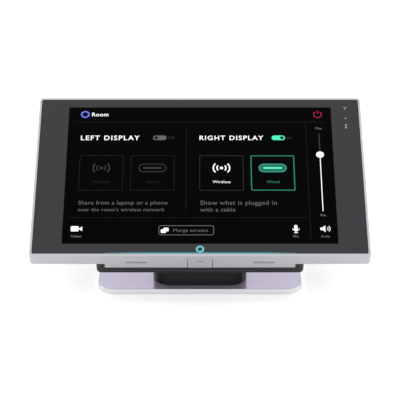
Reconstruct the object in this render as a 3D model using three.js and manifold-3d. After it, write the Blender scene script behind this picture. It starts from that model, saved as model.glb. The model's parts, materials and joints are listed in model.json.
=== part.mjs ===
// A countertop touchscreen terminal: a tilted silver tray with a cover glass and display, on a dark
// housing that holds the boards, a leaning pedestal that holds the ports, and a flat silver base plate.
// Millimetres, +Z up, front towards -Y. The origin is the centre of the base pad's underside.
import * as THREE from 'three';
import { mergeVertices } from 'three/addons/utils/BufferGeometryUtils.js';
import Module from 'manifold-3d';

const wasm = await Module();
wasm.setup();

// ---------------------------------------------------------------- clearances
const FIT = 0.3;               // between pieces that seat on or beside each other
const TRIM_FIT = 0.2;          // round small inlaid trim
const SLACK = 1;               // how far a cutter runs past the face it opens

// ---------------------------------------------------------------- head: display and tray
const TILT = 30;               // degrees, glass to horizontal
const FRONT_Y = -79;           // the tray's front top edge
const FRONT_Z = 42.6;
const DISPLAY_W = 217;         // lit area
const DISPLAY_L = 138.4;
const RIM = 2;                 // silver rim round the glass, and the tray's wall
const SIDE_ROOM = 15.1;        // ledge to the display's carrier: light sensor and side strips
const FRONT_ROOM = 1.4;
const REAR_ROOM = 0.4;
const TRAY_CORNER_R = 2.6;
const GLASS_CORNER_R = 1.4;
const EDGE = 0.4;              // small chamfer on metal edges
const HOLE_SIDES = 10;         // facets round a screw's hole
const GLASS_SINK = 0.1;
const GLASS_T = 1.8;
const GASKET_T = 0.8;
const LEDGE_W = 4;             // ledge that carries the gasket
const LEDGE_T = 1.5;
const SENSOR_T = 0.3;
const PANEL_MARGIN = 2.8;      // dead edge of the panel round the lit area
const PANEL_T = 2.2;
const BACKLIGHT_T = 2.6;
const CARRIER_T = 0.8;         // folded steel behind the display
const CARRIER_ROOM = 1.6;      // carrier to the tray's floor, for the cables
const TRAY_FLOOR_T = 1.4;

// ---------------------------------------------------------------- tray front: tab, key, slots, glow
const TAB_INSET = 6.75;        // housing's side to the tab's end
const TAB_DROP = 4.8;
const TAB_T = 2;
const KEY_W = 19.4;
const KEY_DEPTH = 4.8;         // glass plane down to the key's top edge
const KEY_T = 1.6;
const KEY_GAP = 0.35;
const KEY_TRAVEL = 0.5;
const KEY_STEM = [4, 2];       // width, height
const KEY_MARK = [5, 1.2, 0.3]; // width, height, depth
const MARK_DEPTH = 7.9;
const SENSE_DEPTH = 8.6;       // glass plane down to the stem, the switch and the microphones
const SWITCH_SIZE = [6, 3];     // width, height
const SWITCH_BACK = 2;         // tray wall to the switch's front
const MIC_SLOT = [17, 2.4];
const MIC_SLOT_X = 50;
const MIC_SLOT_DEPTH = 9.2;
const MIC_SINK = 0.3;
const MIC_SIZE = [4, 3, 2.6];
const GLOW_W = 150;
const GLOW_T = 1.2;
const GLOW_BOARD_T = 1;
const HOME_GUIDE_W = 8;
const SENSOR_ROOM = 1;         // ledge to the touch sensor

// ---------------------------------------------------------------- tray sides: light bars
const BAR_L = 106;
const BAR_H = 4.4;
const BAR_SINK = 0.3;
const BAR_T = 1.5;
const STRIP_L = 100;
const STRIP_T = 1;
const STRIP_GAP = 2;           // bar's wall to the strip behind it
const LIGHT_SENSOR = [3, 3, 1];
const LIGHT_SENSOR_BACK = 12;  // from the tray's rear edge

// ---------------------------------------------------------------- housing under the tray
const HOUSING_W = 163.5;
const HOUSING_SETBACK = 10;    // tray's rear edge to the housing's
const HOUSING_CORNER_R = 3.6;
const HOUSING_CHAMFER = 4;
const WALL = 2;
const HOUSING_FLOOR_T = 2;
const CHASSIS_T = 1.2;
const BOARD_DROP = 3;          // chassis plate to the board, room for the chips on its upper side
const BOARD_T = 1.6;
const BOARD_Y = 32;            // board's front edge, up the slope
const BOARD_EDGE = 4;          // free edge round what stands on the board
const PROCESSOR = [24, 24];
const PROCESSOR_AT = [-10, 62];
const MEMORY = [12, 14];
const MEMORY_GAP = 6;          // heat sink to the memory chip
const CHIP_T = 1.4;
const CAN = [30, 24, 2];
const WIRELESS = [22, 30, 1.8];
const SINK_BASE_T = 1.3;
const FIN_H = 3.1;
const FIN_T = 1;
const FIN_COUNT = 9;
const SINK_SIZE = [44, 34];
const SINK_ROOM = 0.9;
const SPEAKER = [22, 38, 8.6]; // width, length, height
const SPEAKER_Y = 57;
const SPEAKER_WALL = 3;        // housing's wall to the speaker
const CONE_R = 7;
const CONE_SINK = 1.4;
const GRILLE_COUNT = 7;
const GRILLE_SLOT = [1.4, 20];
const GRILLE_PITCH = 2.8;
const VENT_COUNT = 11;
const VENT_SLOT = [2.6, 5.5];
const VENT_PITCH = 7.5;
const ANTENNA = [0.8, 40, 6];
const ANTENNA_BACK = 24;       // housing's rear edge to the antenna
const HANG = 1;                // chassis plate to what hangs under it
const CELL_R = 8;
const CELL_T = 2.4;
const CELL_SIDES = 18;
const CABLE_T = 0.4;
const CABLE_RUN = 10;          // how far a cable lies along the board and under the carrier
const CABLE_EDGE = 10;         // board's front edge to the display cable's fold
const DISPLAY_CABLE_W = 40;
const TOUCH_CABLE_W = 14;
const TOUCH_CABLE_X = 20;
const SCREW_SHANK_R = 1.5;
const SCREW_HEAD_R = 2.7;
const SCREW_HEAD_T = 1.6;
const BOSS_R = 4.2;
const BOSS_INSET = [9.5, 11];  // boss centre from the housing's outside, in x and y

// ---------------------------------------------------------------- pedestal and ports
const LEAN = 10;               // degrees forward, going up
const PEDESTAL_W = 75;
const PEDESTAL_L = 111.6;
const PEDESTAL_R = 15;
const PEDESTAL_WALL = 2.5;
const ROUND_STEPS = 7;         // facets round a large corner
const BRACKET_W = 55;
const BRACKET_T = 2.5;
const BRACKET_FOOT = [-34, 6]; // front end and bend of the foot, from the origin
const BRACKET_ARM = 44;        // arm under the housing
const RISER_W = 14;
const RISER_Y = 22;
const RISER_T = 0.8;
const RISER_HOLE = [24, 16];
const BAY_SIDE = 2;            // jacks' row to the bay's sides
const BAY_H = 24;
const BAY_UP = 3;              // base plate to the bay's lower face
const PLATE_Y = 42;            // port plate's inner face
const PLATE_T = 1.2;
const PORT_BOARD_UP = 1.8;     // bay's lower face to the port board
const PORT_BOARD_L = 26;
const NETWORK_JACK = [16, 18, 13.4];
const NETWORK_MOUTH = [11.8, 13, 8.4];
const USB_JACK = [14.4, 15, 7.2];
const USB_MOUTH = [12.2, 11, 4.8];
const USB_TONGUE = [9.6, 9, 1.5];
const POWER_INLET = [9.6, 9, 4.2];
const POWER_MOUTH = [8.4, 7, 2.6];
const POWER_TONGUE = [6.4, 5, 0.7];
const JACK_GAP = 3.2;
const POWER_KEY_R = 3.4;
const POWER_KEY_UP = 16.5;     // bay's lower face to the key's axis
const POWER_KEY_PROUD = 1.4;
const POWER_KEY_CAP = 4;
const POWER_KEY_STEM_R = 1.4;
const POWER_KEY_TRAVEL = 0.8;
const KEY_STEPS = 5;           // facets round a quarter of the key
const POWER_SWITCH = [6, 7];   // width, length

// ---------------------------------------------------------------- base
const BASE_W = 164;
const BASE_L = 125;
const BASE_R = 14;
const BASE_T = 4.4;
const BASE_EDGE = 0.8;
const PAD_T = 0.8;
const PAD_INSET = 2.5;
const BASE_SCREW_X = 18;
const BASE_SCREW_Y = [-28, -6];
const ARM_SCREW_X = 16;

// ---------------------------------------------------------------- levels that follow from the sizes
const rad = THREE.MathUtils.degToRad;
const PANEL_BORDER = RIM + LEDGE_W + CARRIER_T + FIT + PANEL_MARGIN;  // lit area out, without the room
const SIDE_BORDER = PANEL_BORDER + SIDE_ROOM;
const FRONT_BORDER = PANEL_BORDER + FRONT_ROOM;
const HEAD_W = DISPLAY_W + 2 * SIDE_BORDER;
const HEAD_L = FRONT_BORDER + DISPLAY_L + PANEL_BORDER + REAR_ROOM;
const HOUSING_L = HEAD_L - HOUSING_SETBACK;
const TAB_W = HOUSING_W - 2 * TAB_INSET;
const GLASS_TOP = -GLASS_SINK;
const GLASS_LOW = GLASS_TOP - GLASS_T;
const UNDER_GLASS = GLASS_LOW - FIT;
const GASKET_LOW = UNDER_GLASS - GASKET_T;
const LEDGE_TOP = GASKET_LOW - FIT;
const LEDGE_LOW = LEDGE_TOP - LEDGE_T;
const SENSOR_LOW = UNDER_GLASS - SENSOR_T;
const PANEL_TOP = SENSOR_LOW - FIT;
const PANEL_LOW = PANEL_TOP - PANEL_T;
const BACKLIGHT_TOP = PANEL_LOW - FIT;
const BACKLIGHT_LOW = BACKLIGHT_TOP - BACKLIGHT_T;
const CARRIER_TOP = BACKLIGHT_LOW - FIT;
const CARRIER_LOW = CARRIER_TOP - CARRIER_T;
const TRAY_FLOOR_TOP = CARRIER_LOW - CARRIER_ROOM;
const TRAY_LOW = TRAY_FLOOR_TOP - TRAY_FLOOR_T;
const TAB_LOW = TRAY_LOW - TAB_DROP;
const HOUSING_TOP = TRAY_LOW - FIT;
const CHASSIS_LOW = HOUSING_TOP - CHASSIS_T;
const BOARD_TOP = CHASSIS_LOW - BOARD_DROP;
const BOARD_LOW = BOARD_TOP - BOARD_T;
const CHIP_TOP = BOARD_LOW - FIT;
const CHIP_LOW = CHIP_TOP - CHIP_T;
const SINK_TOP = CHIP_LOW - FIT;
const SINK_LOW = SINK_TOP - SINK_BASE_T - FIN_H;
const HOUSING_FLOOR_TOP = SINK_LOW - SINK_ROOM;
const HOUSING_LOW = HOUSING_FLOOR_TOP - HOUSING_FLOOR_T;
const ARM_LEVEL = HOUSING_LOW - 2 * FIT - BRACKET_T / 2;
const CAVITY_FRONT = TAB_T + FIT + WALL;       // the front wall stands behind the tab
const INNER_HALF_W = HOUSING_W / 2 - WALL;
const SPEAKER_X = INNER_HALF_W - SPEAKER_WALL - SPEAKER[0] / 2;
const BOARD_HALF_W = SPEAKER_X - SPEAKER[0] / 2 - 2 * FIT;
const DISPLAY_Y = FRONT_BORDER + DISPLAY_L / 2;
const CARRIER_FRONT = FRONT_BORDER - PANEL_MARGIN - FIT - CARRIER_T;
const SENSOR_EDGE = RIM + LEDGE_W + SENSOR_ROOM;
const KEY_REACH = RIM + SWITCH_BACK - KEY_TRAVEL - TRIM_FIT;
const BASE_TOP = PAD_T + BASE_T;
const BAY_LOW = BASE_TOP + BAY_UP;
const FACE_Y = PLATE_Y + PLATE_T;
const BAY_HALF_W = (NETWORK_JACK[0] + USB_JACK[0] + POWER_INLET[0] + 2 * JACK_GAP) / 2 + BAY_SIDE;
const PORT_BOARD_TOP = BAY_LOW + PORT_BOARD_UP + BOARD_T;
const PORT_FLOOR = PORT_BOARD_TOP + TRIM_FIT;

// ---------------------------------------------------------------- solids
const TO_X = new THREE.Matrix4().set(0, 0, 1, 0, 1, 0, 0, 0, 0, 1, 0, 0, 0, 0, 0, 1);
const TO_Y = new THREE.Matrix4().set(0, 1, 0, 0, 0, 0, 1, 0, 1, 0, 0, 0, 0, 0, 0, 1);

function asSolid(geometry) {
  const bare = geometry.clone();
  bare.deleteAttribute('normal');
  bare.deleteAttribute('uv');
  const merged = mergeVertices(bare, 1e-4);
  return new wasm.Manifold(new wasm.Mesh({
    numProp: 3,
    vertProperties: new Float32Array(merged.attributes.position.array),
    triVerts: new Uint32Array(merged.index.array),
  }));
}

function asGeometry(solid) {
  const skin = solid.getMesh();
  const geometry = new THREE.BufferGeometry();
  geometry.setAttribute('position', new THREE.BufferAttribute(skin.vertProperties, 3));
  geometry.setIndex(new THREE.BufferAttribute(skin.triVerts, 1));
  return geometry;
}

function carve(stock, ...cutters) {
  return asGeometry(cutters.reduce((rest, cutter) => rest.subtract(asSolid(cutter)), asSolid(stock)));
}

function join(first, ...others) {
  return asGeometry(others.reduce((sum, other) => sum.add(asSolid(other)), asSolid(first)));
}

// Skin through rings of equal point counts, each counter-clockwise seen from the last ring's side.
function loft(rings) {
  const count = rings[0].length;
  const last = (rings.length - 1) * count;
  const index = [];
  for (let k = 0; k + 1 < rings.length; k += 1) {
    for (let i = 0; i < count; i += 1) {
      const a = k * count + i;
      const b = k * count + ((i + 1) % count);
      index.push(a, b, b + count, a, b + count, a + count);
    }
  }
  const flat = rings[0].map((p) => new THREE.Vector2(p.x, p.y));
  for (const [a, b, c] of THREE.ShapeUtils.triangulateShape(flat, [])) {
    index.push(c, b, a, last + a, last + b, last + c);
  }
  const geometry = new THREE.BufferGeometry().setFromPoints(rings.flat());
  geometry.setIndex(index);
  return geometry;
}

// Rounded rectangle, counter-clockwise, as points; a radius of 0 gives its four corners.
function rectangle(width, length, radius = 0, centreX = 0, centreY = 0, steps = 5) {
  const points = [];
  const corners = [[1, 1], [-1, 1], [-1, -1], [1, -1]];
  corners.forEach(([sx, sy], k) => {
    const cx = centreX + sx * (width / 2 - radius);
    const cy = centreY + sy * (length / 2 - radius);
    const turns = radius > 0 ? steps : 0;
    for (let i = 0; i <= turns; i += 1) {
      const angle = (k + (turns ? i / turns : 0)) * (Math.PI / 2);
      points.push(new THREE.Vector2(cx + radius * Math.cos(angle), cy + radius * Math.sin(angle)));
    }
  });
  return points;
}

const atHeight = (outline, z) => outline.map((p) => new THREE.Vector3(p.x, p.y, z));

function slab(outline, low, high) {
  return loft([atHeight(outline, low), atHeight(outline, high)]);
}

// Rounded plate whose lower and upper edges may be chamfered.
function plate({ width, length, radius, y = 0, steps = 5 }, [low, high], lowEdge = 0, highEdge = 0) {
  const inset = (c) => rectangle(width - 2 * c, length - 2 * c, radius - c, 0, y, steps);
  const rings = [atHeight(inset(lowEdge), low)];
  if (lowEdge) rings.push(atHeight(inset(0), low + lowEdge));
  if (highEdge) rings.push(atHeight(inset(0), high - highEdge));
  rings.push(atHeight(inset(highEdge), high));
  return loft(rings);
}

// Ranges along an axis, and the box that three of them bound.
const around = (centre, width) => [centre - width / 2, centre + width / 2];
const grown = ([from, to], by) => [from - by, to + by];

const block = ([x0, x1], [y0, y1], [z0, z1]) => new THREE.BoxGeometry(x1 - x0, y1 - y0, z1 - z0)
  .translate((x0 + x1) / 2, (y0 + y1) / 2, (z0 + z1) / 2);

const post = (radius, [x, y], [low, high], sides = HOLE_SIDES) => new THREE.CylinderGeometry(
  radius, radius, high - low, sides).rotateX(Math.PI / 2).translate(x, y, (low + high) / 2);

// An outline in (y, z) run along X, and one in (z, x) run along Y.
const alongX = (outline, [x0, x1]) => slab(outline, x0, x1).applyMatrix4(TO_X);
const alongY = (outline, [y0, y1]) => slab(outline, y0, y1).applyMatrix4(TO_Y);

// A bent sheet: a line of (y, z) points given its thickness, with mitred bends, run along X.
function bentSheet(points, thickness, span) {
  const normals = points.slice(1).map((p, i) => {
    const run = p.clone().sub(points[i]).normalize();
    return new THREE.Vector2(-run.y, run.x);
  });
  const side = (sign) => points.map((p, i) => {
    const before = normals[Math.max(i - 1, 0)];
    const after = normals[Math.min(i, normals.length - 1)];
    const mitre = before.clone().add(after);
    mitre.multiplyScalar(thickness / (mitre.lengthSq() / 2) / 2);
    return p.clone().addScaledVector(mitre, sign);
  });
  const outline = [...side(-1), ...side(1).reverse()];
  return alongX(outline, span);
}

// ---------------------------------------------------------------- the head's own frame
// x to the right, y up the slope from the tray's front edge, z out of the glass.
const headPose = new THREE.Matrix4().makeTranslation(0, FRONT_Y, FRONT_Z)
  .multiply(new THREE.Matrix4().makeRotationX(rad(TILT)));

function headPoint(y, z) {
  const p = new THREE.Vector3(0, y, z).applyMatrix4(headPose);
  return new THREE.Vector2(p.y, p.z);
}

// Where the leaning line that starts at (x, y) on the base plate meets a plane of the head at z = level.
function leanTo(x, y, level) {
  const origin = headPoint(0, level);
  const slope = Math.tan(rad(TILT));
  const drift = Math.tan(rad(LEAN));
  const z = (origin.y + slope * (y + drift * BASE_TOP - origin.x)) / (1 + slope * drift);
  return new THREE.Vector3(x, y - drift * (z - BASE_TOP), z);
}

function leaningPrism(outline, low, level) {
  const drift = Math.tan(rad(LEAN)) * (low - BASE_TOP);
  const foot = outline.map((p) => new THREE.Vector3(p.x, p.y - drift, low));
  return loft([foot, outline.map((p) => leanTo(p.x, p.y, level))]);
}

// Places along the slope that the pedestal sets: the riser's hole, the board's end over it, the arm.
const upSlope = (p) => new THREE.Vector3(0, p.y, p.z).applyMatrix4(headPose.clone().invert()).y;
const riserMouth = upSlope(leanTo(0, RISER_Y, HOUSING_LOW));
const BOARD_END = riserMouth + RISER_HOLE[1] / 2 + BOARD_EDGE;
const armBend = upSlope(leanTo(0, BRACKET_FOOT[1], ARM_LEVEL));
const armScrewY = armBend - BRACKET_ARM / 2;
const displayCable = { width: DISPLAY_CABLE_W, x: 0, fold: BOARD_Y + CABLE_EDGE };
const touchCable = { width: TOUCH_CABLE_W, x: TOUCH_CABLE_X, fold: BOARD_END - BOARD_EDGE };

// ---------------------------------------------------------------- finishes
const finish = (color, roughness, metalness = 0, extra = {}) => new THREE.MeshStandardMaterial(
  { color, roughness, metalness, ...extra });
const silver = finish(0xc9ccd2, 0.38, 0.9);
const baseSilver = finish(0xc7c2d2, 0.3, 0.9);
const shellBlack = finish(0x2b2b2d, 0.55);
const glassBlack = finish(0x16161a, 0.08);
const frosted = finish(0x8e8e90, 0.5);
const clear = finish(0x6fd8d0, 0.2, 0, { transparent: true, opacity: 0.8 });
const rubber = finish(0x222224, 0.9);
const steel = finish(0x9a9da1, 0.4, 0.9);
const boardGreen = finish(0x1d5a3a, 0.6);
const chipBlack = finish(0x1a1a1c, 0.5);
const amber = finish(0xb9772c, 0.6);
const gold = finish(0xc9a24a, 0.35, 0.9);
const panelGrey = finish(0x3a3c42, 0.3);

const terminal = new THREE.Group();
const head = new THREE.Group();
head.applyMatrix4(headPose);
terminal.add(head);

function place(group, name, geometry, material) {
  const mesh = new THREE.Mesh(asGeometry(asSolid(geometry)), material);
  mesh.name = name;
  mesh.geometry.computeVertexNormals();
  group.add(mesh);
}

// ---------------------------------------------------------------- screws
const SIDES = [['right', 1], ['left', -1]];
const THREAD_HOLE_R = SCREW_SHANK_R + FIT;

// A screw stands head down at z = 0, its shank rising.
function screw(length) {
  const head = [[0, 0], [SCREW_HEAD_R, 0], [SCREW_HEAD_R, SCREW_HEAD_T]];
  const shank = [[SCREW_SHANK_R, SCREW_HEAD_T], [SCREW_SHANK_R, length], [0, length]];
  const outline = [...head, ...shank].map(([r, z]) => new THREE.Vector2(r, z));
  return new THREE.LatheGeometry(outline, HOLE_SIDES).rotateX(Math.PI / 2);
}

function screwHole(place, [low, high]) {
  return join(
    post(SCREW_HEAD_R + FIT, place, [low - SLACK, low + SCREW_HEAD_T + 2 * FIT]),
    post(THREAD_HOLE_R, place, [low, high + SLACK]));
}

const housingScrewPlaces = [-1, 1].flatMap((side) => [BOSS_INSET[1], HOUSING_L - BOSS_INSET[1]].map(
  (y) => [side * (HOUSING_W / 2 - BOSS_INSET[0]), y]));
const baseScrewPlaces = [-1, 1].flatMap((side) => BASE_SCREW_Y.map((y) => [side * BASE_SCREW_X, y]));
const armScrewPlaces = SIDES.map(([, side]) => [side * ARM_SCREW_X, armScrewY]);

// ---------------------------------------------------------------- tray
const glassSize = (gap) => ({
  width: HEAD_W - 2 * (RIM + gap),
  length: HEAD_L - 2 * (RIM + gap),
  radius: GLASS_CORNER_R,
  y: HEAD_L / 2,
});

const ledgeOpening = (grow, height) => block(
  around(0, HEAD_W - 2 * (RIM + LEDGE_W - grow)),
  around(HEAD_L / 2, HEAD_L - 2 * (RIM + LEDGE_W - grow)), height);

const glowWindow = (low) => block(around(0, GLOW_W + 2 * FIT), [RIM, RIM + 2 * FIT + GLOW_T], [low, SLACK]);

const homeGuide = (gap, height) => block(
  around(0, HOME_GUIDE_W + 2 * gap), grown([RIM + FIT + GLOW_T + TRIM_FIT, SENSOR_EDGE - FIT], gap), height);

const barOutline = (gap) => rectangle(
  BAR_L - 2 * gap, BAR_H - 2 * gap, BAR_H / 2 - gap, HEAD_L / 2, TRAY_LOW / 2);

function micOutline(x, gap) {
  const [width, height] = MIC_SLOT;
  return rectangle(height - 2 * gap, width - 2 * gap, height / 2 - gap, -MIC_SLOT_DEPTH, x);
}

function bezelFrame() {
  const outside = { width: HEAD_W, length: HEAD_L, radius: TRAY_CORNER_R, y: HEAD_L / 2 };
  const tab = block(around(0, TAB_W), [0, TAB_T], [TAB_LOW, TRAY_FLOOR_TOP]);
  const stock = join(plate(outside, [TRAY_LOW, 0], EDGE, EDGE), tab);
  const innerX = HEAD_W / 2 - RIM;
  const throughFloor = grown([TRAY_LOW, TRAY_FLOOR_TOP], SLACK);
  const throughLedge = grown([LEDGE_LOW, LEDGE_TOP], SLACK);
  return carve(
    stock,
    plate(glassSize(0), [LEDGE_TOP, SLACK]),
    ledgeOpening(0, throughLedge),
    block([-innerX, innerX], [RIM, HEAD_L - RIM], [TRAY_FLOOR_TOP, LEDGE_LOW]),
    block([-BOARD_HALF_W, BOARD_HALF_W], [BOARD_Y, BOARD_END], throughFloor),
    block(
      around(0, KEY_W + 2 * KEY_GAP), [-SLACK, TAB_T + KEY_TRAVEL], [TAB_LOW - SLACK, KEY_GAP - KEY_DEPTH]),
    glowWindow(LEDGE_LOW - SLACK),
    homeGuide(FIT, throughLedge),
    alongX(barOutline(0), [innerX, HEAD_W / 2 + SLACK]),
    alongX(barOutline(0), [-HEAD_W / 2 - SLACK, -innerX]),
    ...SIDES.map(([, side]) => alongY(micOutline(side * MIC_SLOT_X, 0), grown([0, RIM], SLACK))),
    ...housingScrewPlaces.map((at) => post(THREAD_HOLE_R, at, throughFloor)));
}

function placeTray() {
  place(head, 'bezel_frame', bezelFrame(), silver);
  const glass = plate(glassSize(FIT), [GLASS_LOW, GLASS_TOP]);
  place(head, 'cover_glass', carve(glass, glowWindow(GLASS_LOW - SLACK)), glassBlack);
  const below = [GASKET_LOW - SLACK, SLACK];
  place(head, 'glass_gasket', carve(
    plate(glassSize(FIT), [GASKET_LOW, UNDER_GLASS]),
    ledgeOpening(FIT, below), glowWindow(GASKET_LOW - SLACK), homeGuide(FIT, below)), rubber);
  const pipe = block(around(0, GLOW_W), [RIM + FIT, RIM + FIT + GLOW_T], [LEDGE_LOW - FIT, GLASS_TOP]);
  place(head, 'front_light_pipe', pipe, clear);
  place(head, 'home_light_guide', homeGuide(0, [LEDGE_LOW - FIT, UNDER_GLASS]), clear);
}

// ---------------------------------------------------------------- display stack
function placeDisplay() {
  const panelSize = (grow) => ({
    width: DISPLAY_W + 2 * (PANEL_MARGIN + grow),
    length: DISPLAY_L + 2 * (PANEL_MARGIN + grow),
    radius: 1 + grow,
    y: DISPLAY_Y,
    steps: 2,
  });
  const sensor = {
    width: HEAD_W - 2 * SENSOR_EDGE, length: HEAD_L - 2 * SENSOR_EDGE, radius: 1, y: HEAD_L / 2, steps: 2,
  };
  place(head, 'touch_sensor', plate(sensor, [SENSOR_LOW, UNDER_GLASS]), panelGrey);
  place(head, 'display_panel', plate(panelSize(0), [PANEL_LOW, PANEL_TOP]), panelGrey);
  place(head, 'backlight', plate(panelSize(0), [BACKLIGHT_LOW, BACKLIGHT_TOP]), steel);
  place(head, 'panel_carrier', carve(
    plate(panelSize(FIT + CARRIER_T), [CARRIER_LOW, PANEL_TOP]),
    plate(panelSize(FIT), [CARRIER_TOP, SLACK])), steel);
  const [width, length, height] = LIGHT_SENSOR;
  const top = SENSOR_LOW - FIT;
  place(head, 'light_sensor', block(
    around((HEAD_W - SIDE_BORDER) / 2 - FIT, width), around(HEAD_L - LIGHT_SENSOR_BACK, length),
    [top - height, top]), chipBlack);
}

// ---------------------------------------------------------------- front key, microphones, glow board
function frontKey() {
  const face = block(around(0, KEY_W), [0, KEY_T], [TAB_LOW, -KEY_DEPTH]);
  const [stemW, stemH] = KEY_STEM;
  const stem = block(around(0, stemW), [0, KEY_REACH], around(-SENSE_DEPTH, stemH));
  const [markW, markH, markIn] = KEY_MARK;
  const mark = block(around(0, markW), [-markIn, markIn], around(-MARK_DEPTH, markH));
  return carve(join(face, stem), mark);
}

function placeFrontBoard() {
  const back = CARRIER_FRONT - FIT;
  const boardTop = LEDGE_LOW - 2 * FIT;
  const boardLow = boardTop - GLOW_BOARD_T;
  const hangTop = boardLow - FIT;
  const board = block(around(0, GLOW_W), [RIM + FIT, back], [boardLow, boardTop]);
  place(head, 'front_light_board', board, boardGreen);
  place(head, 'front_key', frontKey(), silver);
  const [switchW, switchH] = SWITCH_SIZE;
  place(head, 'front_key_switch', block(
    around(0, switchW), [RIM + SWITCH_BACK, back], [hangTop - switchH, hangTop]), chipBlack);
  const [micW, micL, micH] = MIC_SIZE;
  SIDES.forEach(([name, side]) => {
    const x = side * MIC_SLOT_X;
    const mesh = alongY(micOutline(x, TRIM_FIT), [MIC_SINK, RIM - MIC_SINK]);
    place(head, `microphone_mesh_${name}`, mesh, frosted);
    place(head, `microphone_${name}`, block(
      around(x, micW), [RIM + FIT, RIM + FIT + micL], [hangTop - micH, hangTop]), gold);
  });
}

// ---------------------------------------------------------------- side light bars
function placeLightBars() {
  const outer = HEAD_W / 2 - BAR_SINK;
  const strip = outer - BAR_T - STRIP_GAP;
  const height = [TRAY_FLOOR_TOP + FIT, LEDGE_LOW - FIT];
  SIDES.forEach(([name, side]) => {
    const bar = alongX(barOutline(TRIM_FIT), around(side * (outer - BAR_T / 2), BAR_T));
    place(head, `side_light_bar_${name}`, bar, frosted);
    place(head, `side_light_strip_${name}`, block(
      around(side * (strip - STRIP_T / 2), STRIP_T), around(HEAD_L / 2, STRIP_L), height), boardGreen);
  });
}

// ---------------------------------------------------------------- housing
// A box open at the top whose lower edges are chamfered all round.
function chamferedTub({ width, length, radius, y }, chamfer, low, high) {
  const small = rectangle(width - 2 * chamfer, length - 2 * chamfer, radius, 0, y);
  const full = rectangle(width, length, radius, 0, y);
  return loft([atHeight(small, low), atHeight(full, low + chamfer), atHeight(full, high)]);
}

const row = (count, pitch, middle) => Array.from(
  { length: count }, (_, i) => middle + (i - (count - 1) / 2) * pitch);

function speakerGrilles() {
  const [width, length] = GRILLE_SLOT;
  return SIDES.flatMap(([, side]) => row(GRILLE_COUNT, GRILLE_PITCH, side * SPEAKER_X).map((x) => block(
    around(x, width), around(SPEAKER_Y, length), grown([HOUSING_LOW, HOUSING_FLOOR_TOP], SLACK))));
}

function rearVents() {
  const [width, height] = VENT_SLOT;
  const z = (HOUSING_TOP + HOUSING_LOW + HOUSING_CHAMFER) / 2;
  return row(VENT_COUNT, VENT_PITCH, 0).map((x) => block(
    around(x, width), grown([HOUSING_L - WALL, HOUSING_L], SLACK), around(z, height)));
}

function backHousing() {
  const outside = { width: HOUSING_W, length: HOUSING_L, radius: HOUSING_CORNER_R, y: HOUSING_L / 2 };
  const cavityL = HOUSING_L - WALL - CAVITY_FRONT;
  const inside = {
    width: 2 * INNER_HALF_W, length: cavityL, radius: HOUSING_CORNER_R - WALL, y: CAVITY_FRONT + cavityL / 2,
  };
  const innerChamfer = HOUSING_CHAMFER - WALL * (2 - Math.SQRT2);
  const shell = carve(
    chamferedTub(outside, HOUSING_CHAMFER, HOUSING_LOW, HOUSING_TOP),
    chamferedTub(inside, innerChamfer, HOUSING_FLOOR_TOP, HOUSING_TOP + SLACK));
  const bosses = housingScrewPlaces.map((at) => post(BOSS_R, at, [HOUSING_LOW + EDGE, CHASSIS_LOW - FIT]));
  const throughFloor = grown([HOUSING_LOW, HOUSING_FLOOR_TOP], SLACK);
  return carve(
    join(shell, ...bosses),
    block(around(0, TAB_W + 2 * FIT), [-SLACK, TAB_T + FIT], [TAB_LOW - FIT, HOUSING_TOP + SLACK]),
    block(around(0, RISER_HOLE[0]), around(riserMouth, RISER_HOLE[1]), throughFloor),
    ...speakerGrilles(),
    ...rearVents(),
    ...housingScrewPlaces.map((at) => screwHole(at, [HOUSING_LOW, HOUSING_TOP])),
    ...armScrewPlaces.map((at) => post(THREAD_HOLE_R, at, throughFloor)));
}

function placeHousing() {
  place(head, 'back_housing', backHousing(), shellBlack);
  const length = TRAY_FLOOR_TOP - HOUSING_LOW - FIT;
  housingScrewPlaces.forEach(([x, y], i) => {
    place(head, `housing_screw_${i + 1}`, screw(length).translate(x, y, HOUSING_LOW + FIT), steel);
  });
}

// ---------------------------------------------------------------- chassis plate and boards
function placeChassis() {
  const length = HOUSING_L - WALL - CAVITY_FRONT - 2 * FIT;
  const width = 2 * (INNER_HALF_W - FIT);
  const outside = {
    width, length, radius: HOUSING_CORNER_R - WALL, y: CAVITY_FRONT + FIT + length / 2, steps: 2,
  };
  const through = grown([CHASSIS_LOW, HOUSING_TOP], SLACK);
  const slots = [displayCable, touchCable].map((cable) => block(
    around(cable.x, cable.width + 2 * SLACK), around(cable.fold, CABLE_T + 2 * SLACK), through));
  const holes = housingScrewPlaces.map((at) => post(THREAD_HOLE_R, at, through));
  place(head, 'chassis_plate', carve(plate(outside, [CHASSIS_LOW, HOUSING_TOP]), ...slots, ...holes), steel);
}

function heatSink() {
  const [width, length] = SINK_SIZE;
  const [x, y] = PROCESSOR_AT;
  const base = block(around(x, width), around(y, length), [SINK_TOP - SINK_BASE_T, SINK_TOP]);
  const fins = row(FIN_COUNT, (width - FIN_T) / (FIN_COUNT - 1), x).map((finX) => block(
    around(finX, FIN_T), around(y, length), [SINK_LOW, SINK_TOP - SINK_BASE_T / 2]));
  return join(base, ...fins);
}

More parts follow.
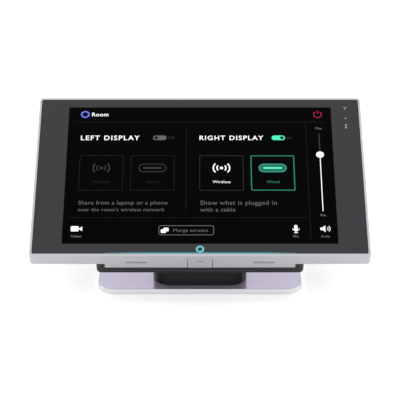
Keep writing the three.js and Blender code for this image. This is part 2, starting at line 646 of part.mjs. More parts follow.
function placeBoards() {
  const right = BOARD_HALF_W - BOARD_EDGE;
  const end = BOARD_END - BOARD_EDGE;
  const foot = BOARD_TOP + FIT;
  const under = (name, [width, length], [x, y], material) => place(
    head, name, block(around(x, width), around(y, length), [CHIP_LOW, CHIP_TOP]), material);
  const above = (name, [width, length, height], [x, y], material) => place(
    head, name, block(around(x, width), around(y, length), [foot, foot + height]), material);
  const board = block([-BOARD_HALF_W, BOARD_HALF_W], [BOARD_Y, BOARD_END], [BOARD_LOW, BOARD_TOP]);
  place(head, 'main_board', board, boardGreen);
  under('processor', PROCESSOR, PROCESSOR_AT, chipBlack);
  const memoryX = PROCESSOR_AT[0] + SINK_SIZE[0] / 2 + MEMORY_GAP + MEMORY[0] / 2;
  under('memory_chip', MEMORY, [memoryX, PROCESSOR_AT[1]], chipBlack);
  above('shield_can', CAN, [CAN[0] / 2 - right, end - CAN[1] / 2], steel);
  const wirelessY = displayCable.fold + CABLE_RUN + BOARD_EDGE + WIRELESS[1] / 2;
  above('wireless_module', WIRELESS, [right - WIRELESS[0] / 2, wirelessY], boardGreen);
  place(head, 'heat_sink', heatSink(), steel);
  const cell = post(CELL_R, [right - CELL_R, end - CELL_R], [CHIP_TOP - CELL_T, CHIP_TOP], CELL_SIDES);
  place(head, 'coin_cell', cell, steel);
}

// ---------------------------------------------------------------- speakers, antennas and flat cables
function placeSpeakers() {
  const [width, length, height] = SPEAKER;
  const [thickness, reach, tall] = ANTENNA;
  const top = CHASSIS_LOW - HANG;
  SIDES.forEach(([name, side]) => {
    const x = side * SPEAKER_X;
    const box = block(around(x, width), around(SPEAKER_Y, length), [top - height, top]);
    const cone = post(CONE_R, [x, SPEAKER_Y], [top - height - SLACK, top - height + CONE_SINK], CELL_SIDES);
    place(head, `speaker_${name}`, carve(box, cone), rubber);
    place(head, `antenna_${name}`, block(
      around(side * (INNER_HALF_W - FIT - thickness / 2), thickness),
      around(HOUSING_L - ANTENNA_BACK - reach / 2, reach), [top - tall, top]), amber);
  });
}

// A flat cable from under the carrier, down through the tray and the chassis plate, onto the board.
function flatCable({ width, x, fold }, towards) {
  const upper = CARRIER_LOW - FIT - CABLE_T / 2;
  const lower = BOARD_TOP + FIT + CABLE_T / 2;
  const end = fold + towards * CABLE_RUN;
  const path = [[end, upper], [fold, upper], [fold, lower], [end, lower]];
  return bentSheet(path.map(([y, z]) => new THREE.Vector2(y, z)), CABLE_T, around(x, width));
}

function placeCables() {
  place(head, 'display_cable', flatCable(displayCable, 1), amber);
  place(head, 'touch_cable', flatCable(touchCable, -1), amber);
}

// ---------------------------------------------------------------- pedestal and its bracket
const bay = { width: around(0, 2 * BAY_HALF_W), height: [BAY_LOW, BAY_LOW + BAY_H] };
const bayBlock = (grow) => block(
  grown(bay.width, grow), [PLATE_Y - FIT, PEDESTAL_L], grown(bay.height, grow));

function pedestalShell() {
  const top = HOUSING_LOW - FIT;
  const outline = (inset) => rectangle(
    PEDESTAL_W - 2 * inset, PEDESTAL_L - 2 * inset, PEDESTAL_R - inset, 0, 0, ROUND_STEPS);
  const outer = leaningPrism(outline(0), BASE_TOP, top);
  const cavity = leaningPrism(outline(PEDESTAL_WALL), BASE_TOP - SLACK, top + SLACK);
  return carve(outer, carve(cavity, bayBlock(PEDESTAL_WALL)), bayBlock(0));
}

function supportBracket() {
  const footLevel = BASE_TOP + FIT + BRACKET_T / 2;
  const [front, bend] = BRACKET_FOOT;
  const path = [
    new THREE.Vector2(front, footLevel),
    new THREE.Vector2(bend, footLevel),
    headPoint(armBend, ARM_LEVEL),
    headPoint(armBend - BRACKET_ARM, ARM_LEVEL),
  ];
  const footHoles = baseScrewPlaces.map((at) => post(THREAD_HOLE_R, at, around(footLevel, 2 * BRACKET_T)));
  const armHoles = armScrewPlaces.map((at) => post(
    THREAD_HOLE_R, at, around(ARM_LEVEL, 2 * BRACKET_T)).applyMatrix4(headPose));
  return carve(bentSheet(path, BRACKET_T, around(0, BRACKET_W)), ...footHoles, ...armHoles);
}

function riserCable() {
  const path = [
    new THREE.Vector2(RISER_Y, PORT_BOARD_TOP + FIT),
    headPoint(riserMouth, HOUSING_LOW - 2 * FIT),
    headPoint(riserMouth, BOARD_LOW - FIT),
  ];
  return bentSheet(path, RISER_T, around(0, RISER_W));
}

function placePedestal() {
  place(terminal, 'pedestal_shell', pedestalShell(), shellBlack);
  place(terminal, 'support_bracket', supportBracket(), steel);
  place(terminal, 'riser_cable', riserCable(), amber);
  const headLow = ARM_LEVEL - BRACKET_T / 2 - FIT - SCREW_HEAD_T;
  SIDES.forEach(([name], i) => {
    const [x, y] = armScrewPlaces[i];
    place(head, `arm_screw_${name}`, screw(HOUSING_FLOOR_TOP - headLow).translate(x, y, headLow), steel);
  });
}

// ---------------------------------------------------------------- ports at the back of the pedestal
const jackSizes = [NETWORK_JACK, USB_JACK, POWER_INLET];
const [networkX, usbX, powerX] = jackSizes.map(([width], i) => jackSizes.slice(0, i).reduce(
  (x, [before]) => x + before + JACK_GAP, BAY_SIDE - BAY_HALF_W + width / 2));

// A jack on the port board: its box, its mouth opening to the back, and the tongue inside the mouth.
function jack([width, length, height], [mouthW, mouthL, mouthH], tongue, x) {
  const middle = PORT_FLOOR + height / 2;
  const body = block(around(x, width), [FACE_Y - length, FACE_Y], [PORT_FLOOR, PORT_FLOOR + height]);
  const mouth = block(around(x, mouthW), [FACE_Y - mouthL, FACE_Y + SLACK], around(middle, mouthH));
  if (!tongue) return carve(body, mouth);
  const [tongueW, tongueL, tongueH] = tongue;
  const root = FACE_Y - mouthL;
  const bar = block(around(x, tongueW), [root - SLACK, root + tongueL], around(middle, tongueH));
  return carve(body, carve(mouth, bar));
}

// A round bar along Y.
const rod = (radius, [x, z], span, steps) => alongY(
  rectangle(2 * radius, 2 * radius, radius, z, x, steps), span);

function portPlate(keyAxis) {
  const sheet = block(grown(bay.width, -FIT), [PLATE_Y, FACE_Y], grown(bay.height, -FIT));
  const through = grown([PLATE_Y, FACE_Y], SLACK);
  const windows = [networkX, usbX, powerX].map((x, i) => {
    const [width, , height] = jackSizes[i];
    return block(grown(around(x, width), FIT), through, grown([PORT_FLOOR, PORT_FLOOR + height], FIT));
  });
  return carve(sheet, ...windows, rod(POWER_KEY_R + FIT, keyAxis, through, KEY_STEPS));
}

function placePorts() {
  place(terminal, 'network_jack', jack(NETWORK_JACK, NETWORK_MOUTH, null, networkX), steel);
  place(terminal, 'usb_jack', jack(USB_JACK, USB_MOUTH, USB_TONGUE, usbX), steel);
  place(terminal, 'power_inlet', jack(POWER_INLET, POWER_MOUTH, POWER_TONGUE, powerX), steel);
  const boardEnd = PLATE_Y - FIT;
  const board = block(
    bay.width, [boardEnd - PORT_BOARD_L, boardEnd], [PORT_BOARD_TOP - BOARD_T, PORT_BOARD_TOP]);
  place(terminal, 'port_board', board, boardGreen);
  const keyAxis = [powerX, BAY_LOW + POWER_KEY_UP];
  place(terminal, 'port_plate', portPlate(keyAxis), steel);
  const switchFront = FACE_Y - POWER_INLET[1] - FIT;
  const capBack = FACE_Y + POWER_KEY_PROUD - POWER_KEY_CAP;
  const cap = rod(POWER_KEY_R, keyAxis, [capBack, FACE_Y + POWER_KEY_PROUD], KEY_STEPS);
  const stemEnd = switchFront + POWER_KEY_TRAVEL + TRIM_FIT;
  const stem = rod(POWER_KEY_STEM_R, keyAxis, [stemEnd, capBack + SLACK], 2);
  place(terminal, 'power_key', join(cap, stem), shellBlack);
  const [switchW, switchL] = POWER_SWITCH;
  place(terminal, 'power_switch', block(
    around(powerX, switchW), [switchFront - switchL, switchFront],
    [PORT_FLOOR, keyAxis[1] + switchW / 2]), chipBlack);
}

// ---------------------------------------------------------------- base
function placeBase() {
  const outside = (inset) => ({
    width: BASE_W - 2 * inset, length: BASE_L - 2 * inset, radius: BASE_R - inset, steps: ROUND_STEPS,
  });
  const holes = baseScrewPlaces.map((at) => screwHole(at, [PAD_T, BASE_TOP]));
  const blank = plate(outside(0), [PAD_T, BASE_TOP], BASE_EDGE, BASE_EDGE / 2);
  place(terminal, 'base_plate', carve(blank, ...holes), baseSilver);
  baseScrewPlaces.forEach(([x, y], i) => {
    const length = BASE_T + BRACKET_T + FIT;
    place(terminal, `base_screw_${i + 1}`, screw(length).translate(x, y, PAD_T + FIT), steel);
  });
  place(terminal, 'non_slip_pad', plate(outside(PAD_INSET), [0, PAD_T]), rubber);
}

placeTray();
placeDisplay();
placeFrontBoard();
placeLightBars();
placeHousing();
placeChassis();
placeBoards();
placeSpeakers();
placeCables();
placePedestal();
placePorts();
placeBase();

export default terminal;
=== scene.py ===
# %% [markdown]
# # Touchscreen terminal on a leaning pedestal
# The terminal is a silver tray with a sheet of dark glass, a black housing behind it, a black
# pedestal that leans forward and a flat lilac-silver foot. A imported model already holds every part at
# its true size, so this lesson loads it first, keeps it fixed, and dresses it part by part.

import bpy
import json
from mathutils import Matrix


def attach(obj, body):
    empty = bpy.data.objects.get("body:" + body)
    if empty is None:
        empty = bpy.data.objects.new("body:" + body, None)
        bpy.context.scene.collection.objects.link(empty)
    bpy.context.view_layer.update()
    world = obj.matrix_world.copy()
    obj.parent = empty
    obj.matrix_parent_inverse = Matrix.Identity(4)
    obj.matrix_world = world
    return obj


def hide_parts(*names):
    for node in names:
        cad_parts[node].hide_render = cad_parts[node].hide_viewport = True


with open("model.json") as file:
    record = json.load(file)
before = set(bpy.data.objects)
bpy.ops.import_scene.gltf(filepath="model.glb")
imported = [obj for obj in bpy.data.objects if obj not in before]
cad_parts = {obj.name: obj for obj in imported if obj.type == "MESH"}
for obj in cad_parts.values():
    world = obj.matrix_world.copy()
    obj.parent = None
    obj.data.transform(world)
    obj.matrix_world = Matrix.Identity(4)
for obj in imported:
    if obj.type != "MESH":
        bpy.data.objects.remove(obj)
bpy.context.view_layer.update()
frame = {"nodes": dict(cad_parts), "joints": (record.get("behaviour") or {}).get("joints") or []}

# %% [markdown]
# ## Two sets of axes
# The foot and the pedestal stand upright, but the tray, the glass and the housing are tilted together.
# Drawing tilted parts with world coordinates would need trigonometry on every line. A matrix can carry
# that once: tilted parts are drawn flat in `HEAD` axes, in millimetres, with the tray's front top edge
# as the origin, y up the slope and z out of the glass. Upright parts use `ROOM` axes.

# %% Axes for upright and tilted parts
import json
import math

import bmesh
import bpy
from mathutils import Matrix, Vector

MM = 0.001
ROOM = Matrix.Scale(MM, 4)


def measured(node, axes):
    """Lowest and highest corner of a CAD node along these axes, in millimetres."""
    back = axes.inverted()
    points = [back @ v.co for v in frame["nodes"][node].data.vertices]
    return (Vector(map(min, zip(*points))), Vector(map(max, zip(*points))))


press = {joint["name"]: Vector(joint["axis"]) for joint in frame["joints"]}
tilt = math.atan2(press["front_key_press"].z, press["front_key_press"].y)
turned = Matrix.Rotation(tilt, 4, "X") @ ROOM
tray_low, tray_high = measured("bezel_frame", turned)
HEAD = turned @ Matrix.Translation((0, tray_low.y, tray_high.z))
print("head tilts", round(math.degrees(tilt), 2), "degrees")

# %% [markdown]
# ## Camera
# A long lens from about 1.4 metres keeps the sides nearly parallel while the far edge of the glass
# still looks shorter than the near one. The camera looks down at the front by about 23 degrees.
# It is aimed with `to_track_quat`, which turns the camera's −Z axis towards the target.

# %% Camera
VIEW_DOWN = math.radians(23.475)
VIEW_DISTANCE = 1.376
LENS = 152

target = Vector((0, -0.0058, 0.058))
back = Vector((0, -math.cos(VIEW_DOWN), math.sin(VIEW_DOWN)))
camera = bpy.data.objects.new("camera", bpy.data.cameras.new("camera"))
camera.data.lens = LENS
camera.data.sensor_width = 36
camera.location = target + back * VIEW_DISTANCE
camera.rotation_mode = "QUATERNION"
camera.rotation_quaternion = (-back).to_track_quat("-Z", "Y")
bpy.context.scene.collection.objects.link(camera)
bpy.context.scene.camera = camera
print("camera at", [round(v, 3) for v in camera.location])

# %% [markdown]
# ## Skinning outlines
# Nearly every part here is a plate, a shell or a bar with rounded corners and softened edges. A bevel
# modifier could soften cubes, but it struggles where corners are already round. Skinning a stack of
# outlines gives full control: each outline is a rounded rectangle, and a profile says how far it is
# drawn in at each height. `bmesh` makes the faces between neighbouring outlines.

# %% Outlines, profiles and the skin between them
def outline(width, length, radius, at=(0, 0), steps=8):
    """A rounded rectangle, anticlockwise."""
    points = []
    for quarter in range(4):
        side_x = 1 if quarter in (0, 3) else -1
        side_y = 1 if quarter < 2 else -1
        x = at[0] + side_x * (width / 2 - radius)
        y = at[1] + side_y * (length / 2 - radius)
        for step in range(steps + 1):
            angle = math.pi / 2 * (quarter + step / steps)
            points.append((x + radius * math.cos(angle), y + radius * math.sin(angle)))
    return points


def arc(x, z, radius, start, end, steps=4):
    """Points on a round edge of a profile, from one angle to another in degrees."""
    angles = [math.radians(start + (end - start) * i / steps) for i in range(steps + 1)]
    return [(x + radius * math.cos(a), z + radius * math.sin(a)) for a in angles]


def soft_edges(low, high, radius):
    """The profile of a plate whose lower and upper edges are both rounded."""
    return arc(radius, low + radius, radius, 270, 180) + arc(radius, high - radius, radius, 180, 90)


def lay(a, b, height, along):
    """A point of an outline, placed at a height along x, y or z."""
    return {"x": (height, a, b), "y": (a, height, b), "z": (a, b, height)}[along]


def stack(width, length, radius, profile, at=(0, 0), along="z", steps=8, least=0.2):
    """One outline for each (inset, height) of the profile."""
    rings = []
    for inset, height in profile:
        drawn = outline(width - 2 * inset, length - 2 * inset, max(radius - inset, least), at, steps)
        rings.append([lay(a, b, height, along) for a, b in drawn])
    return rings


def skin(bm, rings, joined=False):
    """Faces between neighbouring rings. The end rings are capped, or joined to each other."""
    rows = [[bm.verts.new(point) for point in ring] for ring in rings]
    nexts = rows[1:] + rows[:1] if joined else rows[1:]
    for low, high in zip(rows, nexts):
        for i in range(len(low)):
            j = (i + 1) % len(low)
            bm.faces.new((low[i], low[j], high[j], high[i]))
    if not joined:
        bm.faces.new(rows[0][::-1])
        bm.faces.new(rows[-1])
    return bm


print("a test corner has", len(outline(10, 10, 2)), "points")

# %% [markdown]
# ## From bmesh to a finished piece
# A mesh becomes a piece when it has its place, its finish, smooth shading and a body to ride on. Smooth
# shading alone smears light across flat faces, so edges sharper than 35 degrees stay sharp and a
# weighted normal modifier lets the large flat faces decide the direction of the light.
# Slots and holes are cut afterwards with an exact boolean.

# %% Making, cutting and finishing pieces
SHARP = math.radians(35)
WELD = 0.0005


def mesh_object(name, bm, axes):
    """Welds points that coincide, turns the faces outwards and makes the object."""
    bmesh.ops.remove_doubles(bm, verts=bm.verts, dist=WELD)
    bmesh.ops.recalc_face_normals(bm, faces=bm.faces)
    mesh = bpy.data.meshes.new(name)
    bm.to_mesh(mesh)
    bm.free()
    mesh.transform(axes)
    made = bpy.data.objects.new(name, mesh)
    bpy.context.scene.collection.objects.link(made)
    return made


def solid(name, rings, axes):
    """The closed shape that one stack of rings makes."""
    return mesh_object(name, skin(bmesh.new(), rings), axes)


def plain_box(bm, low, high):
    """Adds a sharp box to a mesh."""
    place = Matrix.Translation((Vector(low) + Vector(high)) / 2) @ Matrix.Diagonal(
        (*(Vector(high) - Vector(low)), 1))
    bmesh.ops.create_cube(bm, size=1, matrix=place)
    return bm


def block(low, high, axes):
    """A sharp box as an object, to cut with."""
    return mesh_object("block", plain_box(bmesh.new(), low, high), axes)


def soft_box(bm, low, high, radius, segments=3):
    """Adds a box with rounded edges to a mesh."""
    fresh = plain_box(bmesh.new(), low, high)
    bmesh.ops.bevel(fresh, geom=fresh.edges[:], offset=radius, segments=segments, profile=0.5,
                    affect="EDGES", clamp_overlap=True)
    loose = bpy.data.meshes.new("loose")
    fresh.to_mesh(loose)
    fresh.free()
    bm.from_mesh(loose)
    bpy.data.meshes.remove(loose)
    return bm


def combine(made, other, operation="DIFFERENCE"):
    """Cuts a piece with another object, or joins it on, and uses that object up."""
    step = made.modifiers.new("combine", "BOOLEAN")
    step.operation = operation
    step.solver = "EXACT"
    step.object = other
    graph = bpy.context.evaluated_depsgraph_get()
    finished = bpy.data.meshes.new_from_object(made.evaluated_get(graph))
    made.modifiers.clear()
    made.data = finished
    bpy.data.objects.remove(other)


def dress(made, finish, replaced=(), body="terminal"):
    """Gives a piece its shading, finish and body."""
    for face in made.data.polygons:
        face.use_smooth = True
    made.data.set_sharp_from_angle(angle=SHARP)
    step = made.modifiers.new("light", "WEIGHTED_NORMAL")
    step.keep_sharp = True
    made.data.materials.clear()
    made.data.materials.append(finish)
    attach(made, body)
    if replaced:
        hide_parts(*replaced)
    print(made.name, "has", len(made.data.polygons), "faces")


# %% [markdown]
# ## Shared parts of a finish
# Real finishes are never even: metal is blasted, plastic is moulded against an etched tool, and hands
# polish both. Each finish here starts from noise measured in the part's own coordinates, so the grain
# has a true size. A slow noise shifts colour and gloss a little, and a fast one gives the bump.

# %% Node helpers
def new_finish(name):
    made = bpy.data.materials.new(name)
    made.use_nodes = True
    return made, made.node_tree, made.node_tree.nodes["Principled BSDF"]


def feed(tree, node, inputs):
    """Gives each named input its plain value, or links it to another node's output."""
    for name, value in inputs.items():
        if isinstance(value, bpy.types.NodeSocket):
            tree.links.new(value, node.inputs[name])
        else:
            node.inputs[name].default_value = value


def add(tree, kind, inputs, **settings):
    """Adds a shader node and returns its outputs."""
    node = tree.nodes.new("ShaderNode" + kind)
    for name, value in settings.items():
        setattr(node, name, value)
    feed(tree, node, inputs)
    return node.outputs


def place_on(tree):
    """Where a point lies in its object's own coordinates, in metres."""
    return add(tree, "TexCoord", {})["Object"]


def grain(tree, size, detail=2.0, stretch=(1, 1, 1)):
    """Noise whose features are about this many millimetres across."""
    where = add(tree, "Mapping", {"Vector": place_on(tree), "Scale": stretch})["Vector"]
    noise = {"Vector": where, "Scale": 1 / (size * MM), "Detail": detail}
    return add(tree, "TexNoise", noise)["Fac"]


def spread(tree, value, low, high):
    """Stretches the middle of a noise to run from low to high."""
    ends = {"From Min": 0.3, "From Max": 0.7, "To Min": low, "To Max": high}
    return add(tree, "MapRange", {"Value": value, **ends})["Result"]


def tint(tree, value, dark, light):
    """Runs from one colour to another with a value."""
    ramp = tree.nodes.new("ShaderNodeValToRGB")
    for stop, place, colour in zip(ramp.color_ramp.elements, (0.3, 0.7), (dark, light)):
        stop.position = place
        stop.color = (*colour, 1)
    tree.links.new(value, ramp.inputs["Fac"])
    return ramp.outputs["Color"]


def bumps(tree, value, depth, strength):
    """Raises the surface by a noise, its depth in millimetres."""
    return add(tree, "Bump", {"Height": value, "Distance": depth * MM, "Strength": strength})["Normal"]


def shades(colour, change):
    """A colour made a little darker and a little lighter."""
    return [tuple(min(1, c * (1 + sign * change)) for c in colour) for sign in (-1, 1)]


print("noise 1 mm across has scale", 1 / MM)

# %% [markdown]
# ## Metals
# The tray is aluminium, bead-blasted and anodised: bright, satin, with a grain finer than a hair. The
# foot is polished and lacquered silver, smooth enough to mirror the pedestal. Hidden steel parts keep
# the streaks of rolled sheet. One function makes the plain ones, and only the numbers differ. The
# foot's colour changes with the direction that the surface faces: its level top is painted darker and
# lilac, a painted reflection of the head's dark underside, and its edges keep the bright silver.

# %% Metal finishes
SHEET_STREAKS = (0.08, 1, 1)
SINK_STREAKS = (1, 0.1, 1)
EDGE_SILVER = (0.88, 0.88, 0.90)
# The top colour is a painted reflection: darker and more lilac than the edge, for the head's dark underside
# mirrored in the foot's top.
TOP_LILAC_PAINTED_REFLECTION = (0.66, 0.61, 0.77)


def metal(name, colour, gloss, blast=None, streak=(1, 1, 1), metallic=1.0, change=0.03):
    """A metal; `blast` is the width and depth of its grain in millimetres, if it has any."""
    made, tree, shader = new_finish(name)
    feed(tree, shader, {
        "Metallic": metallic,
        "Base Color": tint(tree, grain(tree, 9, 3, streak), *shades(colour, change)),
        "Roughness": spread(tree, grain(tree, 2.5, 2, streak), *gloss),
    })
    if blast:
        feed(tree, shader, {"Normal": bumps(tree, grain(tree, blast[0], 1, streak), blast[1], 0.5)})
    return made


def foot_with_painted_reflection():
    """Silver edges; the level top is painted darker and lilac, a painted reflection of the head above."""
    made, tree, shader = new_finish("silver_with_painted_lilac_reflection")
    normal = add(tree, "NewGeometry", {})["Normal"]
    level = add(tree, "SeparateXYZ", {"Vector": normal})["Z"]
    feed(tree, shader, {
        "Metallic": 0.62,
        # Painted reflection: faces that look up get the darker lilac top colour, and faces that turn away
        # keep the bright silver.
        "Base Color": tint(tree, level, EDGE_SILVER, TOP_LILAC_PAINTED_REFLECTION),
        "Roughness": spread(tree, grain(tree, 2.5, 2), 0.16, 0.20),
    })
    return made


anodised = metal("satin_anodised_silver", (0.54, 0.55, 0.58), (0.32, 0.38), (0.2, 0.0015), change=0.012)
sheet_steel = metal("rolled_sheet_steel", (0.55, 0.56, 0.57), (0.3, 0.45), (0.3, 0.004), SHEET_STREAKS)
plated_steel = metal("nickel_plating", (0.68, 0.67, 0.64), (0.18, 0.28), (0.4, 0.003))
black_screw = metal("blackened_screw_steel", (0.10, 0.10, 0.11), (0.3, 0.42), (0.15, 0.004))
sink_metal = metal("sink_aluminium", (0.62, 0.63, 0.65), (0.32, 0.42), (0.2, 0.005), SINK_STREAKS)
gold_plate = metal("gold_plating", (0.95, 0.70, 0.30), (0.15, 0.25), (0.2, 0.001))
# The foot's finish carries a painted reflection: its top is painted darker and lilac.
foot_painted_reflection = foot_with_painted_reflection()
print("metals made:", anodised.name, foot_painted_reflection.name, plated_steel.name)

# %% [markdown]
# ## Plastics and rubber
# The housing and the pedestal are moulded in a tool with a fine spark-eroded texture, which scatters
# light and keeps them a soft charcoal. The same recipe, with other numbers, gives chips, rubber, powder
# coat and the grey of the light bars.

# %% Plastic finishes
def moulded(name, colour, gloss, texture, specular=0.5, change=0.08):
    """A plastic; `texture` is the width and depth of its grain in millimetres."""
    made, tree, shader = new_finish(name)
    feed(tree, shader, {
        "Specular IOR Level": specular,
        "Base Color": tint(tree, grain(tree, 14, 3), *shades(colour, change)),
        "Roughness": spread(tree, grain(tree, 4), *gloss),
        "Normal": bumps(tree, grain(tree, texture[0], 1.5), texture[1], 0.6),
    })
    return made


PEDESTAL_BLACK = (0.007, 0.007, 0.008)
charcoal = moulded("textured_charcoal_plastic", (0.010, 0.010, 0.011), (0.40, 0.50), (0.35, 0.02), 0.26)
pedestal_charcoal = moulded("satin_charcoal_plastic", PEDESTAL_BLACK, (0.34, 0.42), (0.35, 0.015), 0.24)
key_black = moulded("black_key_plastic", (0.02, 0.02, 0.02), (0.3, 0.38), (0.3, 0.01))
chip_black = moulded("epoxy_chip_black", (0.02, 0.02, 0.022), (0.45, 0.6), (0.25, 0.012))
soft_rubber = moulded("matt_rubber", (0.03, 0.03, 0.032), (0.75, 0.9), (0.5, 0.04), 0.3)
speaker_black = moulded("speaker_plastic", (0.025, 0.025, 0.027), (0.5, 0.6), (0.3, 0.02))
bar_grey = moulded("frosted_grey_bar", (0.17, 0.17, 0.178), (0.34, 0.42), (0.3, 0.008), change=0.03)
panel_grey = moulded("display_film", (0.10, 0.11, 0.12), (0.15, 0.25), (0.8, 0.002))
powder_coat = moulded("black_powder_coat", (0.018, 0.018, 0.019), (0.48, 0.6), (0.4, 0.03), 0.35)
amber_film = moulded("amber_flex_film", (0.45, 0.17, 0.03), (0.25, 0.35), (0.6, 0.004))
print("plastics made:", charcoal.name, soft_rubber.name, bar_grey.name)

# %% [markdown]
# ## Glass, and what glows behind it
# The cover glass is clear, but its back is printed black all round and the display behind it is black
# when it shows black. An opaque, very smooth, very dark surface reflects just as that does and renders
# without noise. The lit page is then made of thin shapes on it that give off their own light.

# %% Glass and lights
def smooth_dark(name, colour, gloss, specular):
    made, tree, shader = new_finish(name)
    feed(tree, shader, {
        "Specular IOR Level": specular,
        "Base Color": tint(tree, grain(tree, 30, 2), *shades(colour, 0.05)),
        "Roughness": spread(tree, grain(tree, 22, 3), *gloss),
    })
    return made


def glowing(name, colour):
    """Lit shapes, with the slight unevenness of a display's light."""
    made, tree, shader = new_finish(name)
    feed(tree, shader, {
        "Base Color": (*[c * 0.2 for c in colour], 1),
        "Specular IOR Level": 0.1,
        "Roughness": 0.4,
        "Emission Strength": 1.0,
        "Emission Color": tint(tree, grain(tree, 1.6, 1), *shades(colour, 0.04)),
    })
    return made


border_glass = smooth_dark("black_backed_glass", (0.010, 0.010, 0.013), (0.03, 0.06), 0.5)
lit_black = smooth_dark("display_black", (0.0006, 0.0006, 0.0007), (0.12, 0.16), 0.02)
print("glass made:", border_glass.name, lit_black.name)

# %% [markdown]
# ## Circuit boards
# Solder mask is a clear green coat over copper, so the tracks show as slightly lighter lines. A brick
# texture with thin mortar stands for tracks that run at right angles, and the mask is glossy over all.

# %% Circuit board finish
TRACK_PITCH = 6


def solder_mask():
    made, tree, shader = new_finish("green_solder_mask")
    tracks = add(tree, "TexBrick", {
        "Vector": place_on(tree),
        "Scale": 1 / (TRACK_PITCH * MM),
        "Mortar Size": 0.03,
        "Color1": (0.012, 0.10, 0.04, 1),
        "Color2": (0.014, 0.12, 0.05, 1),
        "Mortar": (0.05, 0.24, 0.10, 1),
    })
    feed(tree, shader, {
        "Base Color": tracks["Color"],
        "Roughness": spread(tree, grain(tree, 3), 0.2, 0.32),
        "Normal": bumps(tree, tracks["Fac"], 0.03, 0.5),
    })
    return made


board_green = solder_mask()
print("board finish:", board_green.name)

# %% [markdown]
# ## Floor and light
# A pale floor and an even white sky are what a product studio is: the object is lit from everywhere, and
# dark glossy faces reflect plain white. Soft panels overhead, at both sides and behind add a little
# direction. The floor glows a little too, and more strongly where the camera looks straight at it: the
# light path node tells those rays apart, so the floor looks white without flooding the underside.

# %% Stage
FLOOR_SIZE = 6
FLOOR_GLOW = 0.12
FLOOR_GLOW_SEEN = 0.32
WHITE = (1, 1, 1, 1)


def pale_floor():
    made, tree, shader = new_finish("pale_floor")
    seen = add(tree, "LightPath", {})["Is Camera Ray"]
    glow = {"Value": seen, "To Min": FLOOR_GLOW, "To Max": FLOOR_GLOW_SEEN}
    feed(tree, shader, {
        "Base Color": tint(tree, grain(tree, 60, 3), (0.93, 0.93, 0.93), (0.94, 0.94, 0.94)),
        "Roughness": spread(tree, grain(tree, 30), 0.85, 0.95),
        "Emission Color": WHITE,
        "Emission Strength": add(tree, "MapRange", glow)["Result"],
    })
    return made


bm = bmesh.new()
bmesh.ops.create_grid(bm, x_segments=4, y_segments=4, size=FLOOR_SIZE / 2)
floor = mesh_object("floor", bm, Matrix.Identity(4))
floor.data.materials.append(pale_floor())

sky = bpy.data.worlds.new("studio")
sky.use_nodes = True
feed(sky.node_tree, sky.node_tree.nodes["Background"], {"Color": WHITE, "Strength": 1.0})
bpy.context.scene.world = sky


def softbox(name, place, aim, size, power):
    """A soft panel that lights the object but that the camera doesn't see."""
    light = bpy.data.objects.new(name, bpy.data.lights.new(name, "AREA"))
    light.data.shape = "RECTANGLE"
    light.data.size, light.data.size_y = size
    light.data.energy = power
    light.visible_camera = False
    light.location = place
    light.rotation_mode = "QUATERNION"
    light.rotation_quaternion = (Vector(aim) - Vector(place)).to_track_quat("-Z", "Y")
    bpy.context.scene.collection.objects.link(light)


softbox("overhead", (0, 0.9, 2.2), (0, 0.1, 0), (2.4, 0.9), 2)
for way in (-1, 1):
    softbox("side", (way * 2.0, 0.1, 0.8), (0, 0, 0.05), (1.6, 0.8), 10)
    softbox("rear", (way * 1.3, 1.8, 0.5), (0, 0.03, 0.06), (0.5, 1.0), 5)
bpy.context.scene.view_settings.view_transform = "Standard"
print("soft panels:", len(bpy.data.lights))

# %% [markdown]
# ## The silver tray
# The tray is milled from one piece: a rim 2 mm wide round the glass, walls 12 mm tall, a ledge that
# the glass is glued to, and a tab that hangs down in front of the housing and holds the front key. Its
# profile runs up the outside, over the rim, down to the ledge and on to the floor, so one skin makes
# the whole hollow shape with every edge softened. The tab is joined on, and then the slots are cut.

# %% Tray
TRAY_DEPTH = 12
TRAY_FLOOR = 1.4
TRAY_CORNER = 2.6
UNDER_ROUND, RIM_ROUND, INNER_ROUND = 0.5, 0.45, 0.25
GLASS_CORNER = 1.4
LEDGE = 4
LEDGE_THICK = 1.5
TAB_HALF = 75
TAB_THICK = 2
TAB_ROUND = 0.4
GAP = 0.3

tray_low, tray_high = measured("bezel_frame", HEAD)
glass_low, glass_high = measured("cover_glass", HEAD)
gasket_low, _ = measured("glass_gasket", HEAD)
head_w, head_l = 2 * tray_high.x, tray_high.y
rim = tray_high.x - glass_high.x - GAP
ledge_top = gasket_low.z - GAP
floor_top = TRAY_FLOOR - TRAY_DEPTH

profile = arc(UNDER_ROUND, UNDER_ROUND - TRAY_DEPTH, UNDER_ROUND, 270, 180)
profile += arc(RIM_ROUND, -RIM_ROUND, RIM_ROUND, 180, 90)
profile += arc(rim - INNER_ROUND, -INNER_ROUND, INNER_ROUND, 90, 0)
profile += [(rim, ledge_top), (rim + LEDGE, ledge_top), (rim + LEDGE, ledge_top - LEDGE_THICK)]
profile += [(rim, ledge_top - LEDGE_THICK), (rim, floor_top)]
rings = stack(head_w, head_l, TRAY_CORNER, profile, (0, head_l / 2), least=GLASS_CORNER)
tray = solid("tray", rings, HEAD)
tab = soft_box(bmesh.new(), (-TAB_HALF, 0, tray_low.z), (TAB_HALF, TAB_THICK, floor_top), TAB_ROUND)
combine(tray, mesh_object("tab", tab, HEAD), "UNION")
print("tray is", round(head_w), "by", round(head_l), "mm, rim", round(rim, 2))

# %% [markdown]
# ## Slots in the tray
# Two sound slots flank the key in the front wall, a long slot in each side wall holds the light bar,
# and a notch in the tab lets the key move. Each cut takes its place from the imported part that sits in
# it, made larger by the gap, so the fit is right without measuring anything twice.

# %% Cut the tray
KEY_GAP = 0.35
KEY_CORNER = 0.9
NOTCH_DROP = 16
TRIM_GAP = 0.2
PAST_RIM = 0.4
SIDES = (("right", 1), ("left", -1))


